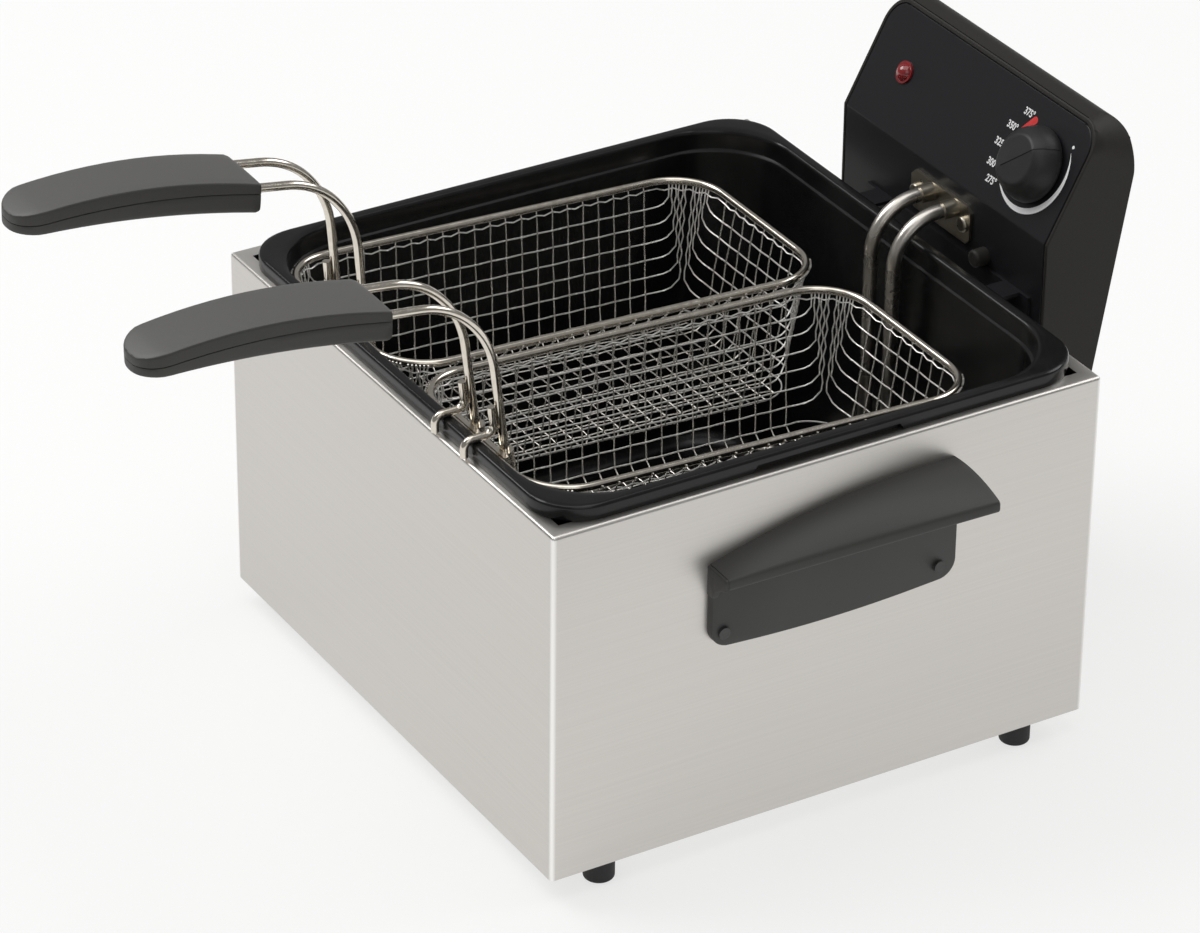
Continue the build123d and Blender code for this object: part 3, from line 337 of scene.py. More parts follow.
screw_look, _, _ = plain_look(
    "zinc_screw", (0.60, 0.59, 0.56), (0.76, 0.75, 0.72),
    rough=(0.2, 0.34), metal=1.0, scale=700, strength=0.05, distance=0.0001,
)
rivet_look, _, _ = plain_look(
    "dark_rivet", (0.038, 0.038, 0.037), (0.054, 0.054, 0.052),
    rough=(0.3, 0.42), metal=0.0, scale=900, strength=0.08, distance=0.0001,
)
rubber_look, _, _ = plain_look(
    "foot_rubber", (0.018, 0.018, 0.018), (0.03, 0.03, 0.03),
    rough=(0.6, 0.8), metal=0.0, scale=700, strength=0.2, distance=0.0002,
)
phenolic_look, _, _ = plain_look(
    "brown_moulding", (0.06, 0.03, 0.02), (0.10, 0.055, 0.035),
    rough=(0.4, 0.55), metal=0.0, scale=600, strength=0.1, distance=0.0001,
)
button_look, _, _ = plain_look(
    "red_button", (0.40, 0.015, 0.015), (0.48, 0.02, 0.02),
    rough=(0.25, 0.35), metal=0.0, scale=500, strength=0.05, distance=0.0001,
)
white_print_look, _, _ = plain_look(
    "white_print", (0.80, 0.80, 0.80), (0.88, 0.88, 0.88),
    rough=(0.45, 0.55), metal=0.0, scale=900, strength=0.03, distance=0.00005,
)
red_print_look, _, _ = plain_look(
    "red_print", (0.60, 0.022, 0.022), (0.68, 0.03, 0.03),
    rough=(0.4, 0.5), metal=0.0, scale=900, strength=0.03, distance=0.00005,
)
lens_look, _, lens_shader = plain_look(
    "red_lens", (0.18, 0.006, 0.008), (0.28, 0.010, 0.013),
    rough=(0.06, 0.12), metal=0.0, scale=300, strength=0.04, distance=0.0002,
)
lens_shader.inputs["Coat Weight"].default_value = 0.8
lamp_look, _, _ = plain_look(
    "lamp_glass", (0.8, 0.5, 0.3), (0.9, 0.6, 0.4),
    rough=(0.1, 0.2), metal=0.0, scale=300, strength=0.02, distance=0.0001,
)

cad_looks = {
    "housing_shell": steel_look,
    "base_plate": flat_steel_look,
    "feet": rubber_look,
    "foot_screws": screw_look,
    "foot_nuts": screw_look,
    "right_side_handle": wing_look,
    "left_side_handle": wing_look,
    "handle_rivets": rivet_look,
    "oil_pot": enamel_look,
    "control_front_panel": panel_look,
    "control_rear_shell": shell_look,
    "shell_screws": screw_look,
    "indicator_lens": lens_look,
    "indicator_lamp": lamp_look,
    "thermostat_body": phenolic_look,
    "reset_switch": phenolic_look,
    "terminal_block": phenolic_look,
    "power_inlet": shell_look,
    "hanger_bracket": panel_look,
    "locating_peg": shell_look,
    "heating_element": tube_look,
    "element_plate": plate_look,
    "element_collars": plate_look,
    "element_plate_screws": plate_look,
    "control_knob": knob_look,
    "knob_shaft": screw_look,
    "reset_button": button_look,
}
for side in ("right", "left"):
    for ending in ("rim", "outer_net", "inner_net", "front_net", "back_net", "floor_net", "corner_folds"):
        cad_looks[side + "_basket_" + ending] = wire_look
    for ending in ("handle_wire", "handle_bracket", "hanging_hooks", "grip_screws"):
        cad_looks[side + "_" + ending] = wire_look
    for ending in ("grip_upper", "grip_lower"):
        cad_looks[side + "_" + ending] = grip_look
for node_name, look in cad_looks.items():
    nodes[node_name].data.materials.clear()
    nodes[node_name].data.materials.append(look)


# Housing: an open steel box with a folded top edge
def make_housing():
    start_clean()
    bpy.ops.mesh.primitive_cube_add(size=1, location=(0, 0, housing_tall / 2))
    box = bpy.context.object
    box.scale = (housing_wide, housing_deep, housing_tall)
    settle(box)
    bpy.ops.object.mode_set(mode="EDIT")
    bpy.ops.mesh.select_all(action="DESELECT")
    bpy.ops.object.mode_set(mode="OBJECT")
    for face in box.data.polygons:
        face.select = face.normal.z < -0.5
    bpy.ops.object.mode_set(mode="EDIT")
    bpy.ops.mesh.select_mode(type="FACE")
    bpy.ops.mesh.delete(type="ONLY_FACE")
    bpy.ops.object.mode_set(mode="OBJECT")
    for face in box.data.polygons:
        face.select = face.normal.z > 0.5
    bpy.ops.object.mode_set(mode="EDIT")
    bpy.ops.mesh.inset(thickness=front_flange)
    narrower = (housing_wide - 2 * side_flange) / (housing_wide - 2 * front_flange)
    bpy.ops.transform.resize(value=(narrower, 1, 1))
    bpy.ops.mesh.delete(type="FACE")
    bpy.ops.object.mode_set(mode="OBJECT")
    bevel(box, 0.0016, 4, 60)
    wall = box.modifiers.new("wall", "SOLIDIFY")
    wall.thickness = 0.0009
    wall.offset = -1
    apply_all(box)
    smooth(box, 30)
    finish_piece(box, "housing", "housing", "stainless", steel_look, "housing_shell")


# A rounded copy of a CAD node
def rounded_copy(node_name, name, body, slot, look, width, segments=3, angle=25):
    source = nodes[node_name]
    piece = bpy.data.objects.new(name, source.data.copy())
    bpy.context.scene.collection.objects.link(piece)
    pick(piece)
    bpy.ops.object.mode_set(mode="EDIT")
    bpy.ops.mesh.select_all(action="SELECT")
    bpy.ops.mesh.remove_doubles(threshold=0.000004)
    bpy.ops.mesh.dissolve_limited(angle_limit=radians(0.8))
    bpy.ops.mesh.normals_make_consistent(inside=False)
    bpy.ops.object.mode_set(mode="OBJECT")
    step = bevel(piece, width, segments, angle)
    step.use_clamp_overlap = False
    step.miter_outer = "MITER_ARC"
    apply_all(piece)
    smooth(piece, 22)
    keep_flats(piece)
    return finish_piece(piece, name, body, slot, look, node_name)


# Wires drawn as lines and given a thickness
def wires(name, lines, thickness, place, sides=1):
    drawing = bpy.data.curves.new(name, "CURVE")
    drawing.dimensions = "3D"
    drawing.bevel_depth = thickness / 2
    drawing.bevel_resolution = sides
    drawing.use_fill_caps = True
    for line in lines:
        run = drawing.splines.new("POLY")
        run.points.add(len(line) - 1)
        for spot, point in zip(run.points, line):
            spot.co = (point[0] * mm, point[1] * mm, point[2] * mm, 1)
    piece = bpy.data.objects.new(name, drawing)
    bpy.context.scene.collection.objects.link(piece)
    piece.matrix_world = place
    pick(piece)
    bpy.ops.object.convert(target="MESH")
    piece = bpy.context.object
    settle(piece)
    smooth(piece, 60)
    return piece


# Woven basket: wires that run down one wall, over the floor and up the other,
# and hoops that turn up at the corners
basket_front = -125.0
basket_top = 170.4
basket_tilt = 2.4
basket_half = 56.85
basket_long = 220.0
basket_deep = 67.0
basket_round = 25.0
basket_draw = 8.0
mesh_pitch = 8.2
level_pitch = 8.4
first_level = 4.4
mesh_wire = 0.75
crimp = 0.22
rows = [110 + mesh_pitch * (step - 10) for step in range(21)]
columns = [mesh_pitch * (step - 3.5) for step in range(8)]
levels = [first_level + level_pitch * step for step in range(8)]
last_level = len(levels) - 1
inner_column = 36.9
outer_column = 44.6
end_row = 12.4
next_row = 19.8
wrap_reach = 2.27
wrap_turns = (95, 50, 10)
corner_climb = ((0.25, 0.02), (0.5, 0.10), (0.75, 0.34), (1.0, 1.0))
rim_scallop = 0.55
gather_half_angle = 26.0
gather_drop = 8.0
corner_x = basket_half - basket_round
corner_back = basket_long - basket_round
corner_turns = {
    ("right", 1): ((corner_x, corner_back), 0, 1),
    ("right", -1): ((corner_x, basket_round), 360, -1),
    ("left", 1): ((-corner_x, corner_back), 180, -1),
    ("left", -1): ((-corner_x, basket_round), 180, 1),
    ("back", 1): ((corner_x, corner_back), 90, -1),
    ("back", -1): ((-corner_x, corner_back), 90, 1),
    ("front", 1): ((corner_x, basket_round), 270, 1),
    ("front", -1): ((-corner_x, basket_round), 270, -1),
}


def wall_spot(wall, along, deep, out=0.0):
    inset = basket_draw * deep / basket_deep
    reach = basket_half - inset + out
    if wall == "right":
        return (reach, along, -deep)
    if wall == "left":
        return (-reach, along, -deep)
    if wall == "front":
        return (along, inset - out, -deep)
    return (along, basket_long - inset + out, -deep)


def corner_spot(corner, turn, deep, out=0.0):
    reach = basket_round - basket_draw * deep / basket_deep + out
    return (corner[0] + reach * cos(radians(turn)), corner[1] + reach * sin(radians(turn)), -deep)


def weave(first, second):
    return crimp if (first + second) % 2 else -crimp


def upright(wall, along, number):
    """From the wrap round the rim down to the lowest hoop."""
    line = []
    for turn in wrap_turns:
        around = wrap_reach * sin(radians(turn))
        line.append(wall_spot(wall, along, wrap_reach * cos(radians(turn)), around))
    for number_down, deep in enumerate(levels):
        line.append(wall_spot(wall, along, deep, weave(number, number_down)))
    return line


def cross_wires():
    """Wires over the floor that climb two opposite walls, and the short ones that stay on the floor."""
    lines = []
    floor_columns = [-outer_column, -inner_column] + columns + [inner_column, outer_column]
    floor_rows = [next_row] + rows + [basket_long - next_row]
    all_rows = [end_row] + floor_rows + [basket_long - end_row]
    short_rows = [13.0] + floor_rows + [basket_long - 13.0]
    edge_rows = [20.0] + rows + [basket_long - 20.0]
    for number, along in enumerate(rows):
        floor = []
        for place, x in enumerate(floor_columns):
            floor.append((x, along, -basket_deep + weave(number, place)))
        lines.append(upright("left", along, number) + floor + upright("right", along, number)[::-1])
    for number, along in enumerate(columns):
        floor = []
        for place, y in enumerate(all_rows):
            floor.append((along, y, -basket_deep - weave(number + 1, place + 1)))
        lines.append(upright("front", along, number) + floor + upright("back", along, number)[::-1])
    for number, x in enumerate((-inner_column, inner_column)):
        lines.append([(x, y, -basket_deep - weave(number, place)) for place, y in enumerate(short_rows)])
    for x in (-outer_column, outer_column):
        lines.append([(x, y, -basket_deep + 0.3) for y in edge_rows])
    for number, y in enumerate((end_row, next_row, basket_long - next_row, basket_long - end_row)):
        ends = 40.0 if number in (0, 3) else 44.0
        spots = [-ends] + columns + [ends]
        lines.append([(x, y, -basket_deep + weave(number, place)) for place, x in enumerate(spots)])
    return lines


def turned_up(wall, end, number_down):
    """A hoop's end goes round part of the corner, then climbs to the rim among the gathered strands."""
    corner, begin, sense = corner_turns[(wall, end)]
    deep = levels[number_down]
    meet = 45 - gather_half_angle * (1 - number_down / last_level)
    rise = deep - gather_drop * number_down
    line = []
    for share, risen in corner_climb:
        line.append(corner_spot(corner, begin + sense * meet * share, deep - rise * risen))
    kinks = int((deep - rise - first_level) / (level_pitch / 2))
    for step in range(1, kinks + 1):
        kink = 1 if (step + number_down) % 2 else -1
        height = deep - rise - step * level_pitch / 2
        line.append(corner_spot(corner, begin + sense * (meet + 1.0 * kink), height, 0.25 * kink))
    for turn in wrap_turns[::-1]:
        around = wrap_reach * sin(radians(turn))
        line.append(corner_spot(corner, begin + sense * meet, wrap_reach * cos(radians(turn)), around))
    return line


def hoop_run(wall, number_down):
    line = []
    for number, along in enumerate(rows if wall in ("right", "left") else columns):
        line.append(wall_spot(wall, along, levels[number_down], -weave(number, number_down)))
    return line


def closed_hoop(number_down, scallop):
    """A hoop that keeps its level right round the basket."""
    deep = levels[number_down]
    line = []
    for wall, way, far in (("right", 1, 1), ("back", -1, -1), ("left", -1, -1), ("front", 1, 1)):
        spots = rows if wall in ("right", "left") else columns
        spots = spots if way == 1 else spots[::-1]
        pitch = spots[1] - spots[0]
        for number, along in enumerate(spots):
            line.append(wall_spot(wall, along, deep - scallop, -weave(number, number_down)))
            if scallop and number < len(spots) - 1:
                line.append(wall_spot(wall, along + pitch / 2, deep + scallop, 0.2))
        corner, begin, sense = corner_turns[(wall, far)]
        for number, turn in enumerate(range(9, 90, 9)):
            dip = scallop if number % 2 else -scallop
            line.append(corner_spot(corner, begin + sense * turn, deep + dip, 0.45))
    line.append(line[0])
    return line


def hoops():
    lines = [closed_hoop(0, rim_scallop), closed_hoop(last_level, 0.0)]
    for number_down in range(1, last_level):
        for wall in ("right", "left", "front", "back"):
            low_end = turned_up(wall, -1, number_down)
            high_end = turned_up(wall, 1, number_down)
            lines.append(low_end[::-1] + hoop_run(wall, number_down) + high_end)
    return lines


def basket_place(centre_x):
    place = Matrix.Translation((centre_x * mm, basket_front * mm, basket_top * mm))
    return place @ Matrix.Rotation(radians(-basket_tilt), 4, "X")


def make_basket_mesh(side, centre_x):
    body = side + "_basket"
    piece = wires(side + "_woven_wires", cross_wires(), mesh_wire * mm, basket_place(centre_x))
    finish_piece(
        piece,
        side + "_woven_wires",
        body,
        "nickel",
        shaded_upright_wire_look,
        body + "_outer_net",
        body + "_inner_net",
        body + "_front_net",
        body + "_back_net",
        body + "_floor_net",
    )
    piece = wires(side + "_hoop_wires", hoops(), mesh_wire * mm, basket_place(centre_x))
    finish_piece(piece, side + "_hoop_wires", body, "nickel", lit_hoop_wire_look, body + "_corner_folds")


# A curve through three points
def curve_through(spots, values):
    a, b, c = spots

    def value(t):
        first = values[0] * (t - b) * (t - c) / ((a - b) * (a - c))
        second = values[1] * (t - a) * (t - c) / ((b - a) * (b - c))
        third = values[2] * (t - a) * (t - b) / ((c - a) * (c - b))
        return first + second + third

    return value


# Grips: two moulded halves, drawn as sections along the handle
grip_spots = (-54.5, -108.0, -167.5)
grip_top = curve_through(grip_spots, (85.3, 94.0, 90.5))
grip_seam = curve_through(grip_spots, (80.2, 87.2, 84.8))
grip_low = curve_through(grip_spots, (70.2, 78.4, 80.2))
grip_root = -55.0
grip_tip = -167.0
grip_root_half = 16.6
grip_tip_half = 14.0
grip_tip_round = 12.5
seam_gap = 0.3
least_rise = 1.6
grip_stations = [-55.0, -55.5, -57.0, -60.0]
grip_stations += [-60.0 - 7.8 * step for step in range(1, 12)]
grip_stations += [-150.0, -154.5, -157.5, -160.0, -162.2, -164.0, -165.4, -166.3, -166.8, -167.0]
upper_section = (
    (-1.0, 0.02), (-1.0, 0.70), (-0.992, 0.82), (-0.965, 0.90), (-0.92, 0.94),
    (-0.7, 0.97), (-0.35, 0.992), (0.0, 1.0), (0.35, 0.992), (0.7, 0.97),
    (0.92, 0.94), (0.965, 0.90), (0.992, 0.82), (1.0, 0.70), (1.0, 0.02),
)
lower_section = (
    (-0.97, 0.0), (-0.985, 0.03), (-0.985, 0.30), (-0.97, 0.66), (-0.945, 0.84),
    (-0.88, 0.95), (-0.6, 1.0), (0.0, 1.0), (0.6, 1.0), (0.88, 0.95),
    (0.945, 0.84), (0.97, 0.66), (0.985, 0.30), (0.985, 0.03), (0.97, 0.0),
)
handle_front = -117.0
handle_foot = 167.0


def handle_place(centre_x, lean):
    place = Matrix.Translation((centre_x * mm, handle_front * mm, handle_foot * mm))
    return place @ Matrix.Rotation(radians(-lean), 4, "X")


def grip_half_width(y):
    share = (y - grip_root) / (grip_tip - grip_root)
    straight = grip_root_half + (grip_tip_half - grip_root_half) * share
    from_tip = y - grip_tip
    if from_tip < grip_tip_round:
        inner = grip_tip_round - from_tip
        rounded = max(grip_tip_round * grip_tip_round - inner * inner, 0.0) ** 0.5
        straight = straight - grip_tip_round + rounded
    return max(straight, 1.6)


def section_skin(name, sections):
    """A closed skin over a row of rings that all have the same number of points."""
    count = len(sections[0])
    points = [point for ring in sections for point in ring]
    faces = ring_faces(len(sections), count)
    faces.append(tuple(range(count))[::-1])
    faces.append(tuple(range(len(points) - count, len(points))))
    piece = new_piece(name, points, faces)
    face_outwards(piece)
    return piece


def upper_ring(y, wide, seam, ease, blunt):
    top = grip_top(y) - 1.0 * (1 - ease)
    rise = least_rise + (top - seam - least_rise) * (0.35 + 0.65 * blunt ** 0.5)
    ring = [(wide * a, y, seam + rise * b) for a, b in upper_section]
    return ring + [(wide * 0.97, y, seam), (0, y, seam), (-wide * 0.97, y, seam)]


def lower_ring(y, wide, seam, ease, blunt):
    low = grip_low(y) + 1.0 * (1 - ease)
    low = seam - least_rise + (low - seam + least_rise) * (0.75 + 0.25 * blunt ** 0.5)
    fall = seam - seam_gap - low
    return [(wide * a, y, seam - seam_gap - fall * b) for a, b in lower_section]


def make_grip(side, centre_x, lean):
    for half, half_ring in (("upper", upper_ring), ("lower", lower_ring)):
        rings = []
        for y in grip_stations:
            ease = min(1.0, (grip_root - y + 0.4) / 2.4) ** 0.5
            wide = grip_half_width(y) - 1.2 * (1 - ease)
            blunt = min(1.0, (y - grip_tip) / 9.0)
            rings.append(half_ring(y, wide, grip_seam(y), ease, blunt))
        name = side + "_grip_" + half
        piece = section_skin(name + "_moulding", rings)
        piece.matrix_world = handle_place(centre_x, lean)
        settle(piece)
        smooth(piece, 42)
        finish_piece(piece, name + "_moulding", side + "_basket", "grip_plastic", grip_look, name)
        # Upward-facing faces of the upper moulding take the lighter copy: painted light on the grip tops
        if half == "upper":
            piece.data.materials.append(lit_grip_top_look)
            for face in piece.data.polygons:
                face.material_index = 1 if face.normal.z > 0.75 else 0


# Pot: a tapered tub with a wide-cornered mouth, a ledge inside it
# and a stiff rim with a lifting notch on each side
rim_x = 140.0
rim_y = 134.0
rim_corner = 24.0
rim_under = 170.0
mouth_corner = 38.0
notch_half = 38.0
notch_top = 173.4
notch_slant = 2.5
notch_deep = 6.0
tub_corner = mouth_corner + 1.4
tub_floor = 12.0
tub_round = 10.0
tub_inset = 19.1
inside_round = 8.6
inside_inset = 10.3
# How far inside the rim, how round at the corners and how high each ring lies
rim_outside = ((0.5, 170.0), (0.1, 170.15), (0.0, 170.6), (0.0, 175.2), (0.14, 175.9), (0.53, 176.47))
rim_over = ((1.1, 24.0, 176.86), (1.8, 25.5, 177.0), (4.2, 33.5, 177.0), (5.0, 36.5, 176.8))
mouth_ledge = (
    (5.6, 176.3), (5.95, 175.5), (6.05, 174.6), (6.2, 168.2), (6.4, 167.5), (7.5, 166.9), (7.8, 166.2),
)


def tub_ring(inset, corner, z):
    """A rounded rectangle that lies the same distance inside the rim all round."""
    ring = []
    for turn, way_x, way_y in ((0, 1, 1), (90, -1, 1), (180, -1, -1), (270, 1, -1)):
        for step in range(13):
            angle = radians(turn + 90 * step / 12)
            x = way_x * (rim_x - inset - corner) + corner * cos(angle)
            ring.append((x, way_y * (rim_y - inset - corner) + corner * sin(angle), z))
    return ring


def make_pot():
    bend = tub_floor + tub_round
    rings = [tub_ring(tub_inset, tub_corner - tub_round, tub_floor)]
    for angle in (30, 60, 90):
        out = tub_round * sin(radians(angle))
        height = bend - tub_round * cos(radians(angle))
        rings.append(tub_ring(tub_inset - out, tub_corner - tub_round + out, height))
    rings.append(tub_ring(4.6, tub_corner, rim_under))
    for inset, z in rim_outside:
        rings.append(tub_ring(inset, rim_corner - inset, z))
    for inset, corner, z in rim_over:
        rings.append(tub_ring(inset, corner, z))
    for inset, z in mouth_ledge:
        rings.append(tub_ring(inset, mouth_corner, z))
    for angle in (0, 30, 60, 90):
        step_in = inside_round * (1 - cos(radians(angle)))
        height = bend - inside_round * sin(radians(angle))
        rings.append(tub_ring(inside_inset + step_in, mouth_corner - step_in, height))
    pot = section_skin("pot", rings)
    cutters = []
    notch_middle = (rim_under + notch_top) / 2 * mm
    for sign in (1, -1):
        start_clean()
        bpy.ops.mesh.primitive_cube_add(size=1, location=(sign * rim_x * mm, 0, notch_middle))
        cutter = bpy.context.object
        cutter.scale = (notch_deep * mm, 2 * notch_half * mm, (notch_top - rim_under + 0.02) * mm)
        settle(cutter)
        for corner in cutter.data.vertices:
            if corner.co.z > notch_middle:
                corner.co.y *= (notch_half - notch_slant) / notch_half
        cut = pot.modifiers.new("notch", "BOOLEAN")
        cut.operation = "DIFFERENCE"
        cut.solver = "EXACT"
        cut.object = cutter
        cutters.append(cutter)
    apply_all(pot)
    for cutter in cutters:
        bpy.data.objects.remove(cutter)
    smooth(pot, 32)
    keep_flats(pot)
    finish_piece(pot, "enamel_pot", "pot", "enamel", enamel_look, "oil_pot")


# Side handles: a wall plate, a wing that rises and widens towards the back,
# and a cheek that closes its front end
wall_x = 144.25
wing_half = 62.0
wing_spots = (-wing_half, 0.0, wing_half)
wing_wall = curve_through(wing_spots, (134.6, 148.3, 152.3))
wing_reach = curve_through(wing_spots, (15.0, 25.0, 35.0))
wing_edge = curve_through(wing_spots, (134.3, 140.8, 147.0))
wing_lip = 5.0
wing_thick = 4.0
plate_thick = 4.0
plate_foot = 95.5
plate_bow = 3.0
cheek_proud = 0.35
plate_corner = 9.0
plate_tuck = 2.0
corner_lift = 0.9
cheek_fall = 9.0
cheek_bow = 2.2
# How far back from the wing's edge and how far down each point of its rounded nose lies
nose_round = ((1.3, 0.0), (0.75, 0.12), (0.3, 0.5))


def wing_top(y):
    wall = wing_wall(y)
    edge = wing_edge(y)
    reach = wing_reach(y)
    return curve_through((0.0, 0.6 * reach, reach), (wall, wall - 0.2 * (wall - edge), edge))


def wing_ring(y, inset=0.0):
    reach = wing_reach(y) - inset
    edge = wing_edge(y)
    top = wing_top(y)
    ring = [(reach * k / 12, y, top(reach * k / 12) - inset) for k in range(12)]
    for back, down in (*nose_round, (0.07, 1.0)):
        ring.append((reach - back, y, top(reach - back) - down - inset))
    foot = edge - wing_lip + inset
    lip_round = ((0.0, 1.6), (0.0, 1.0), (0.25, 0.4), (0.8, 0.05))
    for back, up in (*lip_round, (wing_thick - 1.2, 0.0), (wing_thick - 0.4, 0.3)):
        ring.append((reach - back, y, foot + up))
    for k in range(9, 0, -1):
        x = (reach - wing_thick) * k / 9
        ring.append((x, y, top(x) - wing_thick + inset))
    ring.append((0.0, y, wing_wall(y) - wing_thick + inset))
    return ring


def cheek_ring(y, inset):
    reach = wing_reach(-wing_half) - inset
    edge = wing_edge(-wing_half)
    top = wing_top(-wing_half)
    ring = [(reach * k / 8, y, top(reach * k / 8) - inset) for k in range(8)]
    for back, down in (*nose_round, (0.0, 1.2)):
        ring.append((reach - back, y, top(reach - back) - down - inset))
    bend = curve_through((0.0, 0.5, 1.0), (0.0, cheek_bow, 0.0))
    for k in range(9):
        share = k / 8
        x = reach + (plate_thick - reach) * share - bend(share)
        ring.append((max(x, 1.0), y, edge - wing_lip - cheek_fall * share + inset))
    ring.append((0.0, y, edge - wing_lip - cheek_fall + inset))
    return ring


def plate_outline(inset):
    """Along the wing's root to the back, down, and forward along the bowed foot."""
    spots = [(-wing_half + inset + cheek_proud, wing_wall(-wing_half) - plate_tuck)]
    for k in range(1, 20):
        y = -wing_half + 2 * wing_half * k / 20
        spots.append((y, wing_wall(y) - plate_tuck))
    spots.append((wing_half - inset, wing_wall(wing_half) - plate_tuck))
    for k in range(9):
        turn = pi / 2 * k / 8
        y = wing_half - plate_corner + (plate_corner - inset) * cos(turn)
        spots.append((y, plate_foot + plate_corner - corner_lift - (plate_corner - inset) * sin(turn)))
    for k in range(1, 16):
        y = (wing_half - plate_corner) * (1 - k / 8)
        spots.append((y, plate_foot - plate_bow * (1 - (y / wing_half) ** 2) + inset))
    for k in range(9):
        turn = pi / 2 * (1 - k / 8)
        y = -wing_half + cheek_proud + plate_corner - (plate_corner - inset) * cos(turn)
        spots.append((y, plate_foot + plate_corner - corner_lift - (plate_corner - inset) * sin(turn)))
    return spots


def make_side_handle(side, sign):
    steps = [-wing_half + 2 * wing_half * k / 32 for k in range(33)]
    rings = [wing_ring(-wing_half + 1.4)] + [wing_ring(y) for y in steps[1:-1]]
    rings = rings + [wing_ring(wing_half - 0.7), wing_ring(wing_half - 0.2, 0.25), wing_ring(wing_half, 0.6)]
    wing = section_skin("wing", rings)
    cheek_steps = ((0.0, 0.6), (0.2, 0.25), (0.7, 0.0), (3.0, 0.0))
    cheek = section_skin("cheek", [cheek_ring(-wing_half + y, inset) for y, inset in cheek_steps])
    plate_steps = ((0.0, 0.0), (plate_thick - 0.8, 0.0), (plate_thick - 0.25, 0.25), (plate_thick, 0.8))
    plate_rings = [[(x, y, z) for y, z in plate_outline(inset)] for x, inset in plate_steps]
    plate = section_skin("plate", plate_rings)
    for part in (wing, cheek, plate):
        smooth(part, 40)
    pick(wing)
    cheek.select_set(True)
    plate.select_set(True)
    bpy.ops.object.join()
    wing.matrix_world = Matrix.Translation((wall_x * mm * sign, 0, 0)) @ Matrix.Diagonal((sign, 1, 1, 1))
    settle(wing)
    if sign < 0:
        face_outwards(wing)
    name = side + "_handle_moulding"
    finish_piece(wing, name, "housing", "handle_plastic", wing_look, side + "_side_handle")


# Handle wires: one wire that runs up from the bracket, sweeps over into the grip and comes back
handle_wire = 4.0
handle_half = 12.5
wire_foot = (0.75, -5.95)
wire_shoulder = (-7.1, 56.3)
wire_neck = (-26.65, 78.3)
wire_end = (-108.0, 87.6)
wire_bends = (45.0, 38.0, 8.0)


def bent_line(points, radii):
    """A line through the points whose inner corners are rounded."""
    spots = [Vector(point) for point in points]
    line = [spots[0]]
    for before, corner, after, radius in zip(spots, spots[1:], spots[2:], radii):
        back = (before - corner).normalized()
        ahead = (after - corner).normalized()
        half = back.angle(ahead) / 2
        middle = (back + ahead).normalized()
        centre = corner + middle * (radius / sin(half))
        start = corner + back * (radius * cos(half) / sin(half)) - centre
        end = corner + ahead * (radius * cos(half) / sin(half)) - centre
        for step in range(13):
            line.append(centre + start.normalized().slerp(end.normalized(), step / 12) * radius)
    line.append(spots[-1])
    return line


def make_handle_wire(side, centre_x, lean):
    profile = (wire_foot, wire_shoulder, wire_neck, wire_end)
    points = [(handle_half, y, z) for y, z in profile] + [(-handle_half, y, z) for y, z in profile[::-1]]
    line = bent_line(points, wire_bends + wire_bends[::-1])
    name = side + "_bent_wire"
    rod = wires(name, [line], handle_wire * mm, handle_place(centre_x, lean), 4)
    finish_piece(rod, name, side + "_basket", "nickel", wire_look, side + "_handle_wire")


# Panel frame: x across, y up the slope, z out of the panel
slope = radians(28)
panel_place = Matrix(
    (
        (1, 0, 0, 0),
        (0, sin(slope), -cos(slope), 0.1495),
        (0, cos(slope), sin(slope), 0.2015),
        (0, 0, 0, 1),
    )
)
dial_x = 53.2
dial_up = 27.3
crescent_x = 52.36
crescent_up = 27.06
crescent_outer = 22.2
crescent_inner = 22.25
crescent_shift = (-1.72, 2.25)


# Knob: a turned cone with a low ridge across its dished top, and along the ridge a thin wire in darker black
# as painted shade for a pointer groove
knob_pointer = radians(44)
knob_ridge = 0.07
crease_start = 8.5
crease_width = 0.5
knob_steps = 96
ridge_from = 12.0
knob_profile = (
    (0.0, 0.9), (16.4, 0.9), (17.2, 1.2), (17.55, 2.0), (17.45, 3.2), (17.0, 5.0), (16.3, 7.2), (15.4, 9.2),
    (14.3, 11.0), (13.2, 12.4), (12.3, 13.3), (11.5, 13.85), (10.8, 14.0),
    (10.0, 13.95), (6.0, 13.85), (0.0, 13.8),
)


def make_knob():
    points = []
    for radius, height in knob_profile:
        for step in range(knob_steps):
            turn = 2 * pi * step / knob_steps
            fall = knob_ridge * abs(radius * sin(turn)) if height > ridge_from else 0.0
            points.append((radius * cos(turn), radius * sin(turn), height - fall))
    knob = new_piece("knob_cone", points, ring_faces(len(knob_profile), knob_steps))
    face_outwards(knob, weld=0.00001)
    place = panel_place @ Matrix.Translation((dial_x * mm, dial_up * mm, 0))
    place = place @ Matrix.Rotation(knob_pointer, 4, "Z")
    knob.matrix_world = place
    settle(knob)
    smooth(knob, 40)
    finish_piece(knob, "knob_moulding", "knob", "knob_black", knob_look, "control_knob")
    # The crease is a thin raised wire in the darker panel black: painted shade standing in for the shade
    # inside the pointer groove
    line = [(-crease_start, 0, 13.9), (-6.0, 0, 13.85), (0, 0, 13.8)]
    line = line + [(radius, 0, height) for radius, height in knob_profile[4:-1][::-1]]
    crease = wires("knob_crease_painted_shade", [line], crease_width * mm, place)
    finish_piece(crease, "knob_crease_painted_shade", "knob", "knob_black", panel_look)


